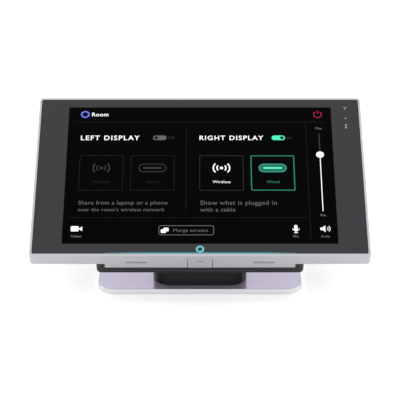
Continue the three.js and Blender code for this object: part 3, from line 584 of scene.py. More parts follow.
def span_of(node, axes):
    """Middle and size of a node along these axes."""
    low, high = measured(node, axes)
    return (low + high) / 2, high - low


def bar(width, height, radius, span, at, along, soft=0.0, steps=8):
    """A bar with rounded ends or corners, lying along an axis."""
    low, high = span
    profile = soft_edges(low, high, soft) if soft else [(0, low), (0, high)]
    return stack(width, height, radius, profile, at, along, steps)


def trim_slot(width, height, span, at, along):
    """A slot with round ends, larger by the gap than the trim that sits in it."""
    return bar(width + 2 * TRIM_GAP, height + 2 * TRIM_GAP, height / 2 + TRIM_GAP, span, at, along)


def tool(rings_list, axes):
    """Sharp shapes in one object, to cut with."""
    bm = bmesh.new()
    for rings in rings_list:
        skin(bm, rings)
    return mesh_object("tool", bm, axes)


key_low, key_high = measured("front_key", HEAD)
front_slots, side_slots = [], []
for side, way in SIDES:
    middle, size = span_of(f"microphone_mesh_{side}", HEAD)
    front_slots.append(trim_slot(size.x, size.z, (-1, rim + PAST_RIM), (middle.x, middle.z), "y"))
    middle, size = span_of(f"side_light_bar_{side}", HEAD)
    span = sorted((way * (tray_high.x + 1), way * (tray_high.x - rim - PAST_RIM)))
    side_slots.append(trim_slot(size.y, size.z, span, (middle.y, middle.z), "x"))
notch_w = 2 * (key_high.x + KEY_GAP)
notch_top = key_high.z + KEY_GAP
front_slots.append(bar(notch_w, NOTCH_DROP, KEY_CORNER + KEY_GAP, (-1, TAB_THICK + 1),
                       (0, notch_top - NOTCH_DROP / 2), "y"))
combine(tray, tool(front_slots, HEAD))
combine(tray, tool(side_slots, HEAD))

board_low, board_high = measured("main_board", HEAD)
combine(tray, block((board_low.x, board_low.y, -TRAY_DEPTH - 1),
                    (board_high.x, board_high.y, floor_top + 1), HEAD))
dress(tray, anodised, ["bezel_frame"])

# %% [markdown]
# ## Cover glass
# A sheet 1.8 mm thick whose upper edge is ground round. It sits a tenth of a millimetre below the rim,
# and a hairline gap runs all round it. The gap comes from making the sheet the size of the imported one.

# %% Cover glass
GROUND_EDGE = 0.35
LOWER_EDGE = 0.1

middle, size = span_of("cover_glass", HEAD)
profile = arc(LOWER_EDGE, glass_low.z + LOWER_EDGE, LOWER_EDGE, 270, 180)
profile += arc(GROUND_EDGE, glass_high.z - GROUND_EDGE, GROUND_EDGE, 180, 90)
glass = solid("screen_glass", stack(size.x, size.y, GLASS_CORNER, profile, (middle.x, middle.y)), HEAD)
window_low, window_high = measured("front_light_pipe", HEAD)
combine(glass, block((window_low.x - GAP, window_low.y - 1, glass_low.z - 1),
                     (window_high.x + GAP, window_high.y + GAP, 1), HEAD))
dress(glass, border_glass, ["cover_glass"])

# %% [markdown]
# ## Front light
# A clear strip under the front edge of the glass glows teal. Its light is brightest in the middle and
# fades towards both ends, so the emission is driven by the distance from the middle.

# %% Front light
GLOW_REACH = 0.045
GLOW_FADE = 0.035


def fading_light():
    """Glows evenly in the middle, then fades out towards both ends."""
    made, tree, shader = new_finish("front_light_teal")
    across = add(tree, "SeparateXYZ", {"Vector": place_on(tree)})["X"]
    fall = {
        "Value": add(tree, "Math", {"Value": across}, operation="ABSOLUTE")["Value"],
        "From Min": GLOW_REACH,
        "From Max": GLOW_REACH + GLOW_FADE,
        "To Min": 1.0,
        "To Max": 0.03,
    }
    feed(tree, shader, {
        "Base Color": (0.02, 0.06, 0.07, 1),
        "Roughness": 0.3,
        "Emission Strength": add(tree, "MapRange", fall, interpolation_type="SMOOTHSTEP")["Result"],
        "Emission Color": tint(tree, grain(tree, 8), (0.012, 0.15, 0.17), (0.015, 0.17, 0.19)),
    })
    return made


strip = mesh_object("front_light", soft_box(bmesh.new(), window_low, window_high, 0.15), HEAD)
dress(strip, fading_light(), ["front_light_pipe"])

# %% [markdown]
# ## Drawing the lit page
# The page that the display shows is drawn with solid shapes a few hundredths of a millimetre thick, so
# it stays crisp at any size. Each ink is one mesh that collects its shapes: filled outlines, rings
# between two outlines, bands along an arc, and words.

# %% Inks and shapes
PAGE_SUNK = 0.02
PAGE_BACK = 0.02
PAGE_UNDER = 0.03
PAGE_INK = 0.04
PAGE_TOP = 0.06

page_level = glass_high.z
inks = {}


def ink(name):
    """The mesh that collects everything drawn in one ink."""
    if name not in inks:
        inks[name] = bmesh.new()
    return inks[name]


def levels(points, *heights):
    return [[(x, y, page_level + h) for x, y in points] for h in heights]


def fill(name, points, top=PAGE_INK):
    skin(ink(name), levels(points, -PAGE_SUNK, top))


def ring(name, outer, inner):
    """The area between two outlines with the same number of points."""
    rings = levels(outer, -PAGE_SUNK, PAGE_INK) + levels(inner, PAGE_INK, -PAGE_SUNK)
    skin(ink(name), rings, joined=True)


def frame_line(name, width, height, radius, at, thick):
    ring(name, outline(width, height, radius, at),
         outline(width - 2 * thick, height - 2 * thick, radius - thick, at))


def rod(name, start, end, thick):
    """A straight stroke with square ends."""
    start, end = Vector(start), Vector(end)
    run = end - start
    side = Vector((-run.y, run.x)).normalized() * thick / 2
    fill(name, [(c.x, c.y) for c in (start - side, end - side, end + side, start + side)])


def disc(name, at, radius, top=PAGE_INK):
    fill(name, outline(2 * radius, 2 * radius, radius, at, 6), top)


def band(name, at, radius, thick, start, end):
    """A stroke along an arc, from one angle to another in degrees."""
    outer = arc(*at, radius + thick / 2, start, end, 12)
    inner = arc(*at, radius - thick / 2, end, start, 12)
    fill(name, outer + inner)


def words(name, text, left, middle, width, weight=0.0, spacing=1.05):
    """Letters fitted to a width, centred on a height."""
    letters = bpy.data.curves.new("letters", "FONT")
    letters.body = text
    letters.offset = weight
    letters.extrude = 0.5
    letters.resolution_u = 3
    letters.space_character = spacing
    shown = bpy.data.objects.new("letters", letters)
    bpy.context.scene.collection.objects.link(shown)
    graph = bpy.context.evaluated_depsgraph_get()
    mesh = bpy.data.meshes.new_from_object(shown.evaluated_get(graph))
    low = Vector(map(min, zip(*(v.co for v in mesh.vertices))))
    high = Vector(map(max, zip(*(v.co for v in mesh.vertices))))
    size = width / (high.x - low.x)
    mesh.transform(Matrix.Translation((-low.x, -0.35, -low.z)))
    mesh.transform(Matrix.Diagonal((size, size, PAGE_INK + PAGE_SUNK, 1)))
    mesh.transform(Matrix.Translation((left, middle, page_level - PAGE_SUNK)))
    ink(name).from_mesh(mesh)
    bpy.data.objects.remove(shown)
    bpy.data.meshes.remove(mesh)


print("page lies", round(-page_level, 2), "mm below the rim")

# %% [markdown]
# ## Layout of the page
# The page has a header, two matching columns for two displays, a volume column and a footer. The two
# columns share one function: only their place and their state differ. Sizes are in millimetres on the
# glass, and the lit area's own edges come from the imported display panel.

# %% Page backdrop and dividing lines
DEAD_EDGE = 2.8
MARGIN = 5
LINE = 0.35

panel_low, panel_high = measured("display_panel", HEAD)
page_right = panel_high.x - DEAD_EDGE
page_low, page_high = panel_low.y + DEAD_EDGE, panel_high.y - DEAD_EDGE
header_line = page_high - 15.5
footer_line = page_low + 25.3
volume_line = page_right - 21.5
column_line = -11.2

page_edge = outline(2 * page_right, page_high - page_low, 0.3, (0, (page_low + page_high) / 2), 2)
dress(solid("page_backdrop", levels(page_edge, -PAGE_SUNK, PAGE_BACK), HEAD), lit_black)
rod("rule", (MARGIN - page_right, header_line), (page_right - MARGIN, header_line), LINE)
rod("rule", (MARGIN - page_right, footer_line), (volume_line, footer_line), LINE)
rod("rule", (volume_line, header_line), (volume_line, page_low + 2), LINE)
rod("rule", (column_line, header_line - 4), (column_line, footer_line + 4), LINE)

# %% Page columns
TILE_W, TILE_H, TILE_CORNER = 35.5, 35.7, 1.2
TILE_STEP = 41.4
TILE_Y = 81.2
TILE_LINE, CHOSEN_LINE = 0.4, 0.8
SIGN_Y, LABEL_Y = TILE_Y + 5, TILE_Y - 9
HEADING_Y = 117.4
NOTE_Y = 51.3
NOTE_STEP = 6.8


def switch(left, on):
    """The sliding switch beside a heading, with its word."""
    x, way = left + 64.6, 1 if on else -1
    fill("green" if on else "note", outline(11, 4.8, 2.4, (x, HEADING_Y)))
    disc("rule", (x + way * 2.9, HEADING_Y), 1.6, PAGE_TOP)
    words("dim", "On" if on else "Off", left + 71.6, HEADING_Y, 4 if on else 5)


def wave_sign(name, x, y):
    """Radio waves on both sides of a dot."""
    disc(name, (x, y), 1.35)
    for radius in (3.6, 6.6):
        band(name, (x, y), radius, 1.1, -42, 42)
        band(name, (x, y), radius, 1.1, 138, 222)


def plug_sign(edge, middle, inside, x, y):
    """The outline of a cable's flat plug."""
    if inside:
        fill(inside, outline(22, 8, 4, (x, y)), PAGE_UNDER)
    frame_line(edge, 22.6, 8.6, 4.3, (x, y), 0.8)
    fill(middle, outline(15.4, 1.9, 0.95, (x, y)))


def column(left, heading, width, on, notes):
    words("white", heading, left, HEADING_Y, width, 0.014, 1.2)
    switch(left, on)
    wave_x, plug_x = left + TILE_W / 2, left + TILE_STEP + TILE_W / 2
    chosen = ("edge_green", CHOSEN_LINE) if on else ("faint", TILE_LINE)
    frame_line("dim" if on else "faint", TILE_W, TILE_H, TILE_CORNER, (wave_x, TILE_Y), TILE_LINE)
    frame_line(chosen[0], TILE_W, TILE_H, TILE_CORNER, (plug_x, TILE_Y), chosen[1])
    wave_sign("white" if on else "dim", wave_x, SIGN_Y)
    words("white" if on else "faint", "Wireless", wave_x - 7.2, LABEL_Y, 14.4)
    plug_inks = ("mid_green", "pale_green", "deep_green") if on else ("dim", "dim", None)
    plug_sign(*plug_inks, plug_x, SIGN_Y)
    words(chosen[0], "Wired", plug_x - 5, LABEL_Y, 10)
    for line, (text, length) in enumerate(notes):
        words("note", text, left + 0.6, NOTE_Y - line * NOTE_STEP, length)


column(-97.6, "LEFT DISPLAY", 48.1, False,
       [("Share from a laptop or a phone", 71), ("over the room's wireless network", 69)])
column(-0.4, "RIGHT DISPLAY", 52.3, True, [("Show what is plugged in", 61), ("with a cable", 28)])
print("columns drawn in", len(inks), "inks")

# %% Header, volume column and footer
HEADER_Y = page_high - 7.6
RING_X, POWER_X = -95, 97.4
FOOTER_Y = page_low + 14.4
CAPTION_Y = page_low + 7.2
VOLUME_X = page_right - 10.8
SLIDER_LOW, SLIDER_HIGH = 43, 122
THUMB_Y = 99.9


def round_ring(name, at, outer, inner):
    """A ring between two radii."""
    ring(name, outline(2 * outer, 2 * outer, outer, at), outline(2 * inner, 2 * inner, inner, at))


def header():
    round_ring("violet", (RING_X, HEADER_Y), 3.7, 2.3)
    words("white", "Room", RING_X + 5.6, HEADER_Y, 13.5, 0.012)
    band("red", (POWER_X, HEADER_Y), 3.2, 0.9, 125, 415)
    rod("red", (POWER_X, HEADER_Y + 0.6), (POWER_X, HEADER_Y + 4.2), 0.9)


def volume():
    words("soft", "Max", VOLUME_X - 2.6, SLIDER_HIGH + 5.4, 5.2)
    words("soft", "Min", VOLUME_X - 2.2, SLIDER_LOW - 4, 4.4)
    rod("dim", (VOLUME_X, THUMB_Y), (VOLUME_X, SLIDER_HIGH), 0.9)
    rod("white", (VOLUME_X, SLIDER_LOW), (VOLUME_X, THUMB_Y), 0.7)
    disc("white", (VOLUME_X, THUMB_Y), 3.2, PAGE_TOP)


def camera_sign(x, y):
    fill("white", outline(6.4, 5, 1.1, (x - 1.3, y)))
    fill("white", [(x + 2.2, y - 0.5), (x + 4.6, y - 2.2), (x + 4.6, y + 2.2), (x + 2.2, y + 0.5)])


def microphone_sign(x, y):
    fill("white", outline(2.8, 5.4, 1.4, (x, y + 1)))
    band("white", (x, y + 0.4), 2.5, 0.6, 180, 360)
    rod("white", (x, y - 2.4), (x, y - 3.8), 0.7)
    rod("white", (x - 1.5, y - 3.8), (x + 1.5, y - 3.8), 0.6)


def speaker_sign(x, y):
    cone = [(-3.6, -1.2), (-1.9, -1.2), (0.4, -3.1), (0.4, 3.1), (-1.9, 1.2), (-3.6, 1.2)]
    fill("white", [(x + a, y + b) for a, b in cone])
    for radius in (2.0, 3.6):
        band("white", (x + 0.5, y), radius, 0.6, -45, 45)


def merge_button(x, y):
    frame_line("edge_grey", 43.7, 9.4, 2.2, (x, y), 0.5)
    fill("white", outline(4.2, 3.4, 0.8, (x - 16, y + 0.7)))
    fill("white", outline(4.2, 3.4, 0.8, (x - 18, y - 0.9)))
    words("note", "Merge screens", x - 10.2, y, 27.4)


header()
volume()
camera_sign(-97.4, FOOTER_Y)
words("soft", "Video", -101.6, CAPTION_Y, 8.4)
microphone_sign(75.6, FOOTER_Y)
words("soft", "Mic", 73.4, CAPTION_Y, 4.4)
speaker_sign(98.4, FOOTER_Y)
words("soft", "Audio", 95, CAPTION_Y, 7)
merge_button(-10.8, page_low + 13)
print("page now has", len(inks), "inks")

# %% [markdown]
# ## Marks on the glass border
# Three tiny signs sit in the border at the top right: a fork, a dot and a pair of dots. A ring in the
# middle of the front border marks the place to touch. They are drawn like the page, since they shine
# through the same black print. Then each ink gets its colour and becomes a piece.

# %% Border marks
SIGNS_X = 120.3
SIGNS_TOP = head_l - 11.5
SIGN_LINE = 0.5
HOME_Y = 6.2

rod("mark", (SIGNS_X, SIGNS_TOP - 1.6), (SIGNS_X, SIGNS_TOP + 0.4), SIGN_LINE)
for step in (-1.3, 1.3):
    rod("mark", (SIGNS_X, SIGNS_TOP + 0.2), (SIGNS_X + step, SIGNS_TOP + 1.9), SIGN_LINE)
disc("mark", (SIGNS_X, SIGNS_TOP - 10.4), 0.7)
for step in (-1.3, 1.3):
    disc("mark", (SIGNS_X, SIGNS_TOP - 19 + step), 0.95)
round_ring("teal", (0, HOME_Y), 3.3, 1.8)
print("marks at", round(SIGNS_X), "and the touch ring at", HOME_Y, "mm")

# %% Turn the inks into pieces
INK_COLOURS = {
    "white": (0.95, 0.96, 0.97),
    "soft": (0.17, 0.17, 0.18),
    "edge_grey": (0.13, 0.13, 0.135),
    "note": (0.11, 0.11, 0.115),
    "dim": (0.028, 0.028, 0.029),
    "faint": (0.008, 0.008, 0.009),
    "rule": (0.006, 0.006, 0.007),
    "pale_green": (0.11, 0.72, 0.48),
    "green": (0.06, 0.80, 0.44),
    "mid_green": (0.035, 0.34, 0.23),
    "edge_green": (0.015, 0.22, 0.14),
    "deep_green": (0.012, 0.13, 0.085),
    "red": (0.30, 0.006, 0.07),
    "violet": (0.13, 0.16, 0.72),
    "teal": (0.14, 0.50, 0.55),
    "mark": (0.30, 0.30, 0.31),
}

for name, shapes in inks.items():
    lit = glowing(f"page_{name}", INK_COLOURS[name])
    dress(mesh_object(f"page_{name}", shapes, HEAD), lit)

# %% [markdown]
# ## Front key
# The key is a small silver lid in the tab, with a shallow groove as its mark and a stem behind it that
# reaches the switch. It is drawn in the same axes as the tray, but it rides on its own body, so it
# slides back when the key is pressed.

# %% Front key
FACE_THICK, FACE_ROUND = 1.6, 0.22
KEY_LOWERED = 0.2
STEM_W, STEM_H, STEM_ROUND = 4, 2, 0.2
MARK_W, MARK_H, MARK_DEEP = 5, 1.2, 0.25
MARK_ROOM = 0.05
MARK_Z = -7.9
STEM_Z = -8.6

key_drop = key_high.z - KEY_LOWERED - key_low.z
face_middle = (0, key_low.z + key_drop / 2)
face = bar(2 * key_high.x, key_drop, KEY_CORNER, (0, FACE_THICK), face_middle, "y", FACE_ROUND)
front_key = solid("front_key_cap", face, HEAD)
stem = soft_box(bmesh.new(), (-STEM_W / 2, FACE_THICK / 2, STEM_Z - STEM_H / 2),
                (STEM_W / 2, key_high.y, STEM_Z + STEM_H / 2), STEM_ROUND)
combine(front_key, mesh_object("stem", stem, HEAD), "UNION")
combine(front_key, tool([bar(MARK_W, MARK_H, MARK_H / 2, (-1, MARK_DEEP), (0, MARK_Z), "y")], HEAD))
dress(front_key, anodised, ["front_key"], "front_key")
inlay = bar(MARK_W - 2 * MARK_ROOM, MARK_H - 2 * MARK_ROOM, MARK_H / 2 - MARK_ROOM,
            (MARK_DEEP * 0.4, MARK_DEEP + 0.1), (0, MARK_Z), "y", 0.04)
dress(solid("front_key_mark", inlay, HEAD), bar_grey, body="front_key")

# %% [markdown]
# ## Sound slots and light bars
# Behind each sound slot is a strip of fine woven mesh, and in each side of the tray lies a long frosted
# bar. Both are stadium shapes with a soft edge. The mesh gets its weave from a fine checker pattern.

# %% Sound mesh and light bars
THREAD = 0.35


def woven_mesh():
    made, tree, shader = new_finish("woven_grey_mesh")
    weave = add(tree, "TexChecker", {
        "Vector": place_on(tree),
        "Scale": 1 / (THREAD * MM),
        "Color1": (0.44, 0.44, 0.45, 1),
        "Color2": (0.26, 0.26, 0.27, 1),
    })
    feed(tree, shader, {
        "Base Color": weave["Color"],
        "Roughness": spread(tree, grain(tree, 1), 0.5, 0.7),
        "Normal": bumps(tree, weave["Fac"], 0.05, 0.6),
    })
    return made


def trim(name, node, along, edge, finish):
    """A bar with round ends that fills the place of a node, lying along x or y."""
    low, high = measured(node, HEAD)
    middle, size = span_of(node, HEAD)
    if along == "y":
        length, at, span = size.x, middle.x, (low.y, high.y)
    else:
        length, at, span = size.y, middle.y, (low.x, high.x)
    shape = bar(length, size.z, size.z / 2, span, (at, middle.z), along, edge)
    dress(solid(name, shape, HEAD), finish, [node])


sound_mesh = woven_mesh()
for side, _ in SIDES:
    trim(f"sound_mesh_{side}", f"microphone_mesh_{side}", "y", 0.15, sound_mesh)
    trim(f"light_bar_{side}", f"side_light_bar_{side}", "x", 0.3, bar_grey)

# %% [markdown]
# ## Housing
# The housing is a shallow plastic tub under the tray. Its lower edges have a broad 45 degree chamfer
# whose bends are slightly round, it has vents at the back and a grille of slots under each speaker.
# The outside and the cavity are two skins, because the front wall is set back behind the tab.

# %% Housing
HOUSING_CORNER = 3.6
HOUSING_CHAMFER = 4
HOUSING_WALL = 2
HOUSING_LIP, LIP_MIDDLE = 0.4, 0.12
BEND = 0.8

shell_low, shell_high = measured("back_housing", HEAD)
chassis_low, chassis_high = measured("chassis_plate", HEAD)


def chamfered(low, high, chamfer, bend):
    """A profile with a chamfered lower edge and slightly round bends."""
    lean = bend * math.tan(math.radians(22.5))
    profile = arc(chamfer + lean, low + bend, bend, 270, 225, 3)
    profile += arc(bend, low + chamfer + lean, bend, 225, 180, 3)
    return profile + [(0, high)]


def tub(name, low, high, radius, profile):
    """A skin over the rectangle between two corners."""
    middle = (low + high) / 2
    return solid(name, stack(high.x - low.x, high.y - low.y, radius, profile, (middle.x, middle.y)), HEAD)


outside = chamfered(shell_low.z, shell_high.z - HOUSING_LIP, HOUSING_CHAMFER, BEND)
outside += [(LIP_MIDDLE, shell_high.z - LIP_MIDDLE), (HOUSING_LIP, shell_high.z)]
housing = tub("housing", shell_low, shell_high, HOUSING_CORNER, outside)
room = Vector((GAP, GAP, 0))
inner_corner = HOUSING_CORNER - HOUSING_WALL
inner_chamfer = HOUSING_CHAMFER - HOUSING_WALL * (2 - math.sqrt(2))
inside = chamfered(shell_low.z + HOUSING_WALL, shell_high.z + 1, inner_chamfer, BEND / 2)
combine(housing, tub("cavity", chassis_low - room, chassis_high + room, inner_corner, inside))
combine(housing, block((-TAB_HALF - GAP, -1, tray_low.z - GAP),
                       (TAB_HALF + GAP, TAB_THICK + GAP, shell_high.z + 1), HEAD))

# %% Vents and grilles
VENTS, VENT_W, VENT_H, VENT_STEP = 11, 2.6, 5.5, 7.5
SLOTS, SLOT_W, SLOT_L, SLOT_STEP = 7, 1.4, 20, 2.8
HAIR = 0.01


def row(count, step, middle=0.0):
    """Places in a row, spread about a middle."""
    return [middle + (i - (count - 1) / 2) * step for i in range(count)]


vent_z = (shell_high.z + shell_low.z + HOUSING_CHAMFER) / 2
through_back = (shell_high.y - HOUSING_WALL - 1, shell_high.y + 1)
through_floor = (shell_low.z - 1, shell_low.z + HOUSING_WALL + 1)
openings = [bar(VENT_W, VENT_H, VENT_W / 2 - HAIR, through_back, (x, vent_z), "y", steps=5)
            for x in row(VENTS, VENT_STEP)]
for side, _ in SIDES:
    middle, _ = span_of(f"speaker_{side}", HEAD)
    openings += [bar(SLOT_W, SLOT_L, SLOT_W / 2 - HAIR, through_floor, (x, middle.y), "z", steps=5)
                 for x in row(SLOTS, SLOT_STEP, middle.x)]
combine(housing, tool(openings, HEAD))
print("cut", len(openings), "slots in the housing")

# %% [markdown]
# ## Screws
# Each screw is turned from one profile: a shank, a flat under the head, and a softly domed head with a
# cross pressed into it. The same function makes every screw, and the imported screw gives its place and
# length. The housing gets a stepped hole for each, cut with a slightly larger screw shape.

# %% Screws
SHANK_R, SHANK_TIP = 1.5, 0.5
HEAD_R = 2.7
HEAD_THICK, HEAD_ROUND = 1.6, 0.1
HEAD_DOME = ((0.9, 0), (0.4, 0.12), (0.1, 0.4), (0, 0.7))
CROSS_W, CROSS_L, CROSS_DEEP = 0.8, 3.2, 0.9


def turned_shape(name, axes, at, profile):
    """A round shape from (radius, height) points, low to high."""
    rings = [[(x, y, z) for x, y in outline(2 * r, 2 * r, r, at, 6)] for r, z in profile]
    return solid(name, rings, axes)


def screw(node, name, axes):
    low, high = measured(node, axes)
    at = ((low.x + high.x) / 2, (low.y + high.y) / 2)
    neck = low.z + HEAD_THICK
    profile = [(HEAD_R - inset, low.z + height) for inset, height in HEAD_DOME]
    profile += [(HEAD_R, neck - HEAD_ROUND), (HEAD_R - HEAD_ROUND, neck), (SHANK_R, neck)]
    profile += [(SHANK_R, high.z - SHANK_TIP), (SHANK_R - SHANK_TIP, high.z)]
    made = turned_shape(name, axes, at, profile)
    for across, along in ((CROSS_W, CROSS_L), (CROSS_L, CROSS_W)):
        cross = bar(across, along, 0.2, (low.z - 1, low.z + CROSS_DEEP), at, "z", steps=2)
        combine(made, solid("cross", cross, axes))
    dress(made, black_screw, [node])


def screw_hole(node, axes, low_face):
    """A stepped hole for the screw, as a shape to cut with."""
    low, high = measured(node, axes)
    at = ((low.x + high.x) / 2, (low.y + high.y) / 2)
    wide, narrow, seat = HEAD_R + GAP, SHANK_R + GAP, low.z + HEAD_THICK + GAP
    steps = [(wide, low_face - 1), (wide, seat), (narrow, seat), (narrow, high.z + 1)]
    return turned_shape("hole", axes, at, steps)


for number in range(1, 5):
    node = f"housing_screw_{number}"
    combine(housing, screw_hole(node, HEAD, shell_low.z))
    screw(node, f"case_screw_{number}_turned", HEAD)
dress(housing, charcoal, ["back_housing"])

# %% [markdown]
# ## Pedestal
# The pedestal is a hollow column that leans forward and is cut off at the slope of the housing. Its
# cross-section stays the same rounded rectangle, so each ring is that outline slid along the leaning
# direction, part of the way to the sloping plane. A smaller column makes the cavity to cut out.

# %% Pedestal
LEAN = 10
PEDESTAL_CORNER = 15
PEDESTAL_WALL = 2.5

foot_low, foot_high = measured("base_plate", ROOM)
column_low, column_high = measured("pedestal_shell", ROOM)
_, column_top = measured("pedestal_shell", HEAD)
leaning = Vector((0, -math.tan(math.radians(LEAN)), 1))
to_head = HEAD.inverted() @ ROOM


def lean_up(x, y, share):
    """From the foot at (x, y), this share of the way up to the sloping plane."""
    start = Vector((x, y, column_low.z))
    rise = (to_head @ (start + leaning)).z - (to_head @ start).z
    length = (column_top.z - (to_head @ start).z) / rise
    return start + leaning * length * share


def leaning_column(name, places):
    """A leaning column through rings that are each drawn in by an inset, at a share of the way up."""
    rings = []
    for inset, share in places:
        drawn = outline(2 * (column_high.x - inset), 2 * (column_high.y - inset),
                        PEDESTAL_CORNER - inset, steps=12)
        rings.append([lean_up(x, y, share) for x, y in drawn])
    return solid(name, rings, ROOM)


pedestal = leaning_column("pedestal", [(0.5, 0), (0.15, 0.004), (0, 0.014), (0, 1)])
cavity = leaning_column("cavity", [(PEDESTAL_WALL, -0.1), (PEDESTAL_WALL, 1.1)])
print("pedestal leans", LEAN, "degrees and is", round(2 * column_high.x, 1), "mm wide")

# %% [markdown]
# ## Port bay
# At the back of the pedestal is a square tunnel whose floor and walls hold the port plate. The tunnel's
# walls come from leaving a thick block uncut when the inside is hollowed out, and the opening itself is
# cut last, with round corners as a moulding tool would leave them.

# %% Port bay
BAY_CORNER = 1.6

plate_low, plate_high = measured("port_plate", ROOM)
bay_low, bay_high = plate_low.z - GAP, plate_high.z + GAP
bay_half = plate_high.x + GAP
bay_front = plate_low.y - GAP
bay_middle = (0, (bay_low + bay_high) / 2)
combine(cavity, block((-bay_half - PEDESTAL_WALL, bay_front, bay_low - PEDESTAL_WALL),
                      (bay_half + PEDESTAL_WALL, column_high.y + 1, bay_high + PEDESTAL_WALL), ROOM))
combine(pedestal, cavity)
bay = bar(2 * bay_half, bay_high - bay_low, BAY_CORNER, (bay_front - 1, column_high.y + 1), bay_middle, "y")
combine(pedestal, solid("bay", bay, ROOM))
dress(pedestal, pedestal_charcoal, ["pedestal_shell"])

# %% [markdown]
# ## Foot and pad
# The foot is a flat plate with wide round corners, a chamfer below and a fine round edge above. The pad
# under it is rubber, a little smaller all round, so the plate seems to float just above the table.

# %% Foot and pad
FOOT_CORNER = 14
FOOT_CHAMFER, FOOT_BEND = 0.8, 0.3
FOOT_EDGE = 0.5
PAD_EDGE = 0.25

profile = chamfered(foot_low.z, foot_high.z, FOOT_CHAMFER, FOOT_BEND)[:-1]
profile += arc(FOOT_EDGE, foot_high.z - FOOT_EDGE, FOOT_EDGE, 180, 90)
foot = solid("foot_plate", stack(2 * foot_high.x, 2 * foot_high.y, FOOT_CORNER, profile, steps=14), ROOM)
for number in range(1, 5):
    node = f"base_screw_{number}"
    combine(foot, screw_hole(node, ROOM, foot_low.z))
    screw(node, f"{node}_turned", ROOM)
dress(foot, foot_painted_reflection, ["base_plate"])

pad_low, pad_high = measured("non_slip_pad", ROOM)
pad_corner = FOOT_CORNER - (foot_high.x - pad_high.x)
profile = soft_edges(pad_low.z, pad_high.z, PAD_EDGE)
pad = solid("foot_pad", stack(2 * pad_high.x, 2 * pad_high.y, pad_corner, profile, steps=12), ROOM)
dress(pad, soft_rubber, ["non_slip_pad"])

# %% [markdown]
# ## Ports
# The port plate is thin powder-coated sheet with a window for each connector and a hole for the power
# key. The connectors are folded metal shells. Inside their mouths are gold contacts, which are
# what makes a port look like a port, and each is laid out in a row by a loop.

# %% Port plate
PLATE_EDGE, PLATE_CORNER = 0.2, 1.2
WINDOW_CORNER = 0.5
PORTS = ("network_jack", "usb_jack", "power_inlet")

plate_middle = (0, (plate_low.z + plate_high.z) / 2)
plate = bar(2 * plate_high.x, plate_high.z - plate_low.z, PLATE_CORNER, (plate_low.y, plate_high.y),
            plate_middle, "y", PLATE_EDGE)
port_plate = solid("port_panel", plate, ROOM)
through = (plate_low.y - 1, plate_high.y + 1)
windows = []
for port in PORTS:
    middle, size = span_of(port, ROOM)
    windows.append(bar(size.x + 2 * GAP, size.z + 2 * GAP, WINDOW_CORNER, through,
                       (middle.x, middle.z), "y", steps=3))
power_middle, power_size = span_of("power_key", ROOM)
key_hole = power_size.x / 2 + GAP
windows.append(bar(2 * key_hole, 2 * key_hole, key_hole, through, (power_middle.x, power_middle.z), "y"))
combine(port_plate, tool(windows, ROOM))
dress(port_plate, powder_coat, ["port_plate"])

# %% Connectors
SHELL_CORNER, SHELL_EDGE = 0.7, 0.3


def within(name, middle, back_y, size, corner, depths, drop=0, steps=3):
    """A bar in a connector's mouth, from one depth behind the mouth to another, lowered by `drop`."""
    span = (back_y - depths[0], back_y - depths[1])
    return solid(name, bar(*size, corner, span, (middle.x, middle.z - drop), "y", steps=steps), ROOM)


def shell(node, mouth):
    """A connector's metal shell with its mouth: width, depth, height and corner radius."""
    low, high = measured(node, ROOM)
    width, depth, height, corner = mouth
    middle = (low + high) / 2
    case = bar(high.x - low.x, high.z - low.z, SHELL_CORNER, (low.y, high.y), (middle.x, middle.z),
               "y", SHELL_EDGE, 4)
    made = solid(f"{node}_shell", case, ROOM)
    combine(made, within("mouth", middle, high.y, (width, height), corner, (depth, -1), steps=4))
    return made, middle, high.y


def tongue(name, middle, back_y, half, depth, heights, radius):
    """The plastic tongue that carries a connector's contacts."""
    made = soft_box(bmesh.new(), (middle.x - half, back_y - depth, middle.z + heights[0]),
                    (middle.x + half, back_y - 2, middle.z + heights[1]), radius)
    dress(mesh_object(name, made, ROOM), speaker_black)


def contacts(name, count, step, at, size):
    """Gold contacts in a row along x."""
    bm = bmesh.new()
    for x in row(count, step, at[0]):
        soft_box(bm, (x - size[0] / 2, at[1] - size[1], at[2] - size[2] / 2),
                 (x + size[0] / 2, at[1], at[2] + size[2] / 2), 0.08, 2)
    dress(mesh_object(name, bm, ROOM), gold_plate)


jack, middle, back_y = shell("network_jack", (11.8, 13, 8.4, 0.5))
combine(jack, within("latch", middle, back_y, (6.2, 3.2), 0.3, (9, -1), 4.9))
dress(jack, plated_steel, ["network_jack"])
lining = within("network_lining", middle, back_y, (11.7, 8.3), 0.2, (12.9, 0.3))
combine(lining, within("step", middle, back_y, (6.1, 3.1), 0.2, (8.9, 0.3), 4.9), "UNION")
combine(lining, within("mouth", middle, back_y, (10.7, 7.2), 0.2, (12, -1)))
combine(lining, within("latch", middle, back_y, (5.3, 3.0), 0.2, (8.2, -1), 4.4))
dress(lining, speaker_black)
contacts("network_contacts", 8, 1.02, (middle.x, back_y - 2.5, middle.z + 3.1), (0.45, 9, 0.5))

usb, middle, back_y = shell("usb_jack", (12.2, 11, 4.8, 0.4))
dress(usb, plated_steel, ["usb_jack"])
tongue("usb_tongue", middle, back_y, 4.8, 11.2, (-0.35, 1.15), 0.25)
contacts("usb_contacts", 4, 2.1, (middle.x, back_y - 2.6, middle.z - 0.4), (1.0, 6.5, 0.16))

inlet, middle, back_y = shell("power_inlet", (8.4, 7, 2.6, 1.29))
dress(inlet, plated_steel, ["power_inlet"])
tongue("inlet_tongue", middle, back_y, 3.2, 7.2, (-0.35, 0.35), 0.15)
contacts("inlet_contacts", 10, 0.55, (middle.x, back_y - 2.3, middle.z + 0.36), (0.28, 4, 0.1))

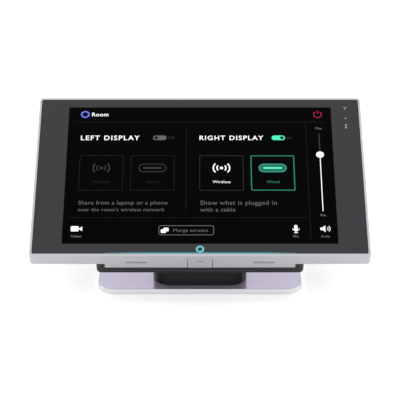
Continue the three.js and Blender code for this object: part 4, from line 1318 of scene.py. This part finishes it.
# %% [markdown]
# ## Power key
# The power key is a round black button that stands a little proud of the port plate. It rides on its own
# body, so it sinks when pressed. Its cap is dished like a fingertip rest, and its stem reaches inwards.

# %% Power key
CAP = 4
STEM_R = 1.4
DISH = 0.35

cap_r = power_size.x / 2
power_low, power_high = measured("power_key", ROOM)
top = power_high.y
steps = [(STEM_R - 0.2, power_low.y), (STEM_R, power_low.y + 0.2), (STEM_R, top - CAP)]
steps += [(cap_r - 0.2, top - CAP), (cap_r, top - CAP + 0.2), (cap_r, top - 0.5), (cap_r - 0.15, top - 0.15)]
steps += [(cap_r - 0.5, top), (cap_r - 1.1, top - DISH * 0.6), (cap_r - 2.2, top - DISH)]
rings = [[lay(x, z, y, "y") for x, z in outline(2 * r, 2 * r, r, (power_middle.x, power_middle.z))]
         for r, y in steps]
dress(solid("power_key_cap", rings, ROOM), key_black, ["power_key"], "power_key")

# %% [markdown]
# ## Parts inside
# What is inside hardly shows, but it is there: light guides, the display's layers, the boards, chips,
# cables and the bracket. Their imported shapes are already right, so each node keeps its mesh. A bevel
# modifier takes the knife edge off, and each gets the finish of what it is made of.

# %% Finishes for the parts inside
INSIDE_EDGE = 0.1
INSIDE = [
    (soft_rubber, ["glass_gasket"]),
    (glowing("home_guide_teal", (0.05, 0.2, 0.22)), ["home_light_guide"]),
    (panel_grey, ["touch_sensor", "display_panel", "backlight"]),
    (sheet_steel, ["panel_carrier", "chassis_plate", "support_bracket"]),
    (chip_black, ["light_sensor", "front_key_switch", "processor", "memory_chip", "power_switch"]),
    (board_green, ["front_light_board", "side_light_strip_right", "side_light_strip_left"]),
    (board_green, ["main_board", "wireless_module", "port_board"]),
    (plated_steel, ["microphone_right", "microphone_left", "shield_can", "coin_cell"]),
    (sink_metal, ["heat_sink"]),
    (speaker_black, ["speaker_right", "speaker_left"]),
    (amber_film, ["antenna_right", "antenna_left", "display_cable", "touch_cable", "riser_cable"]),
    (black_screw, ["arm_screw_right", "arm_screw_left"]),
]

for finish, nodes in INSIDE:
    for node in nodes:
        held = frame["nodes"][node]
        held.data.materials.clear()
        held.data.materials.append(finish)
        edges = held.modifiers.new("edges", "BEVEL")
        edges.width = INSIDE_EDGE * MM
        edges.segments = 2
        edges.limit_method = "ANGLE"
print(sum(len(nodes) for _, nodes in INSIDE), "parts inside have their finish")
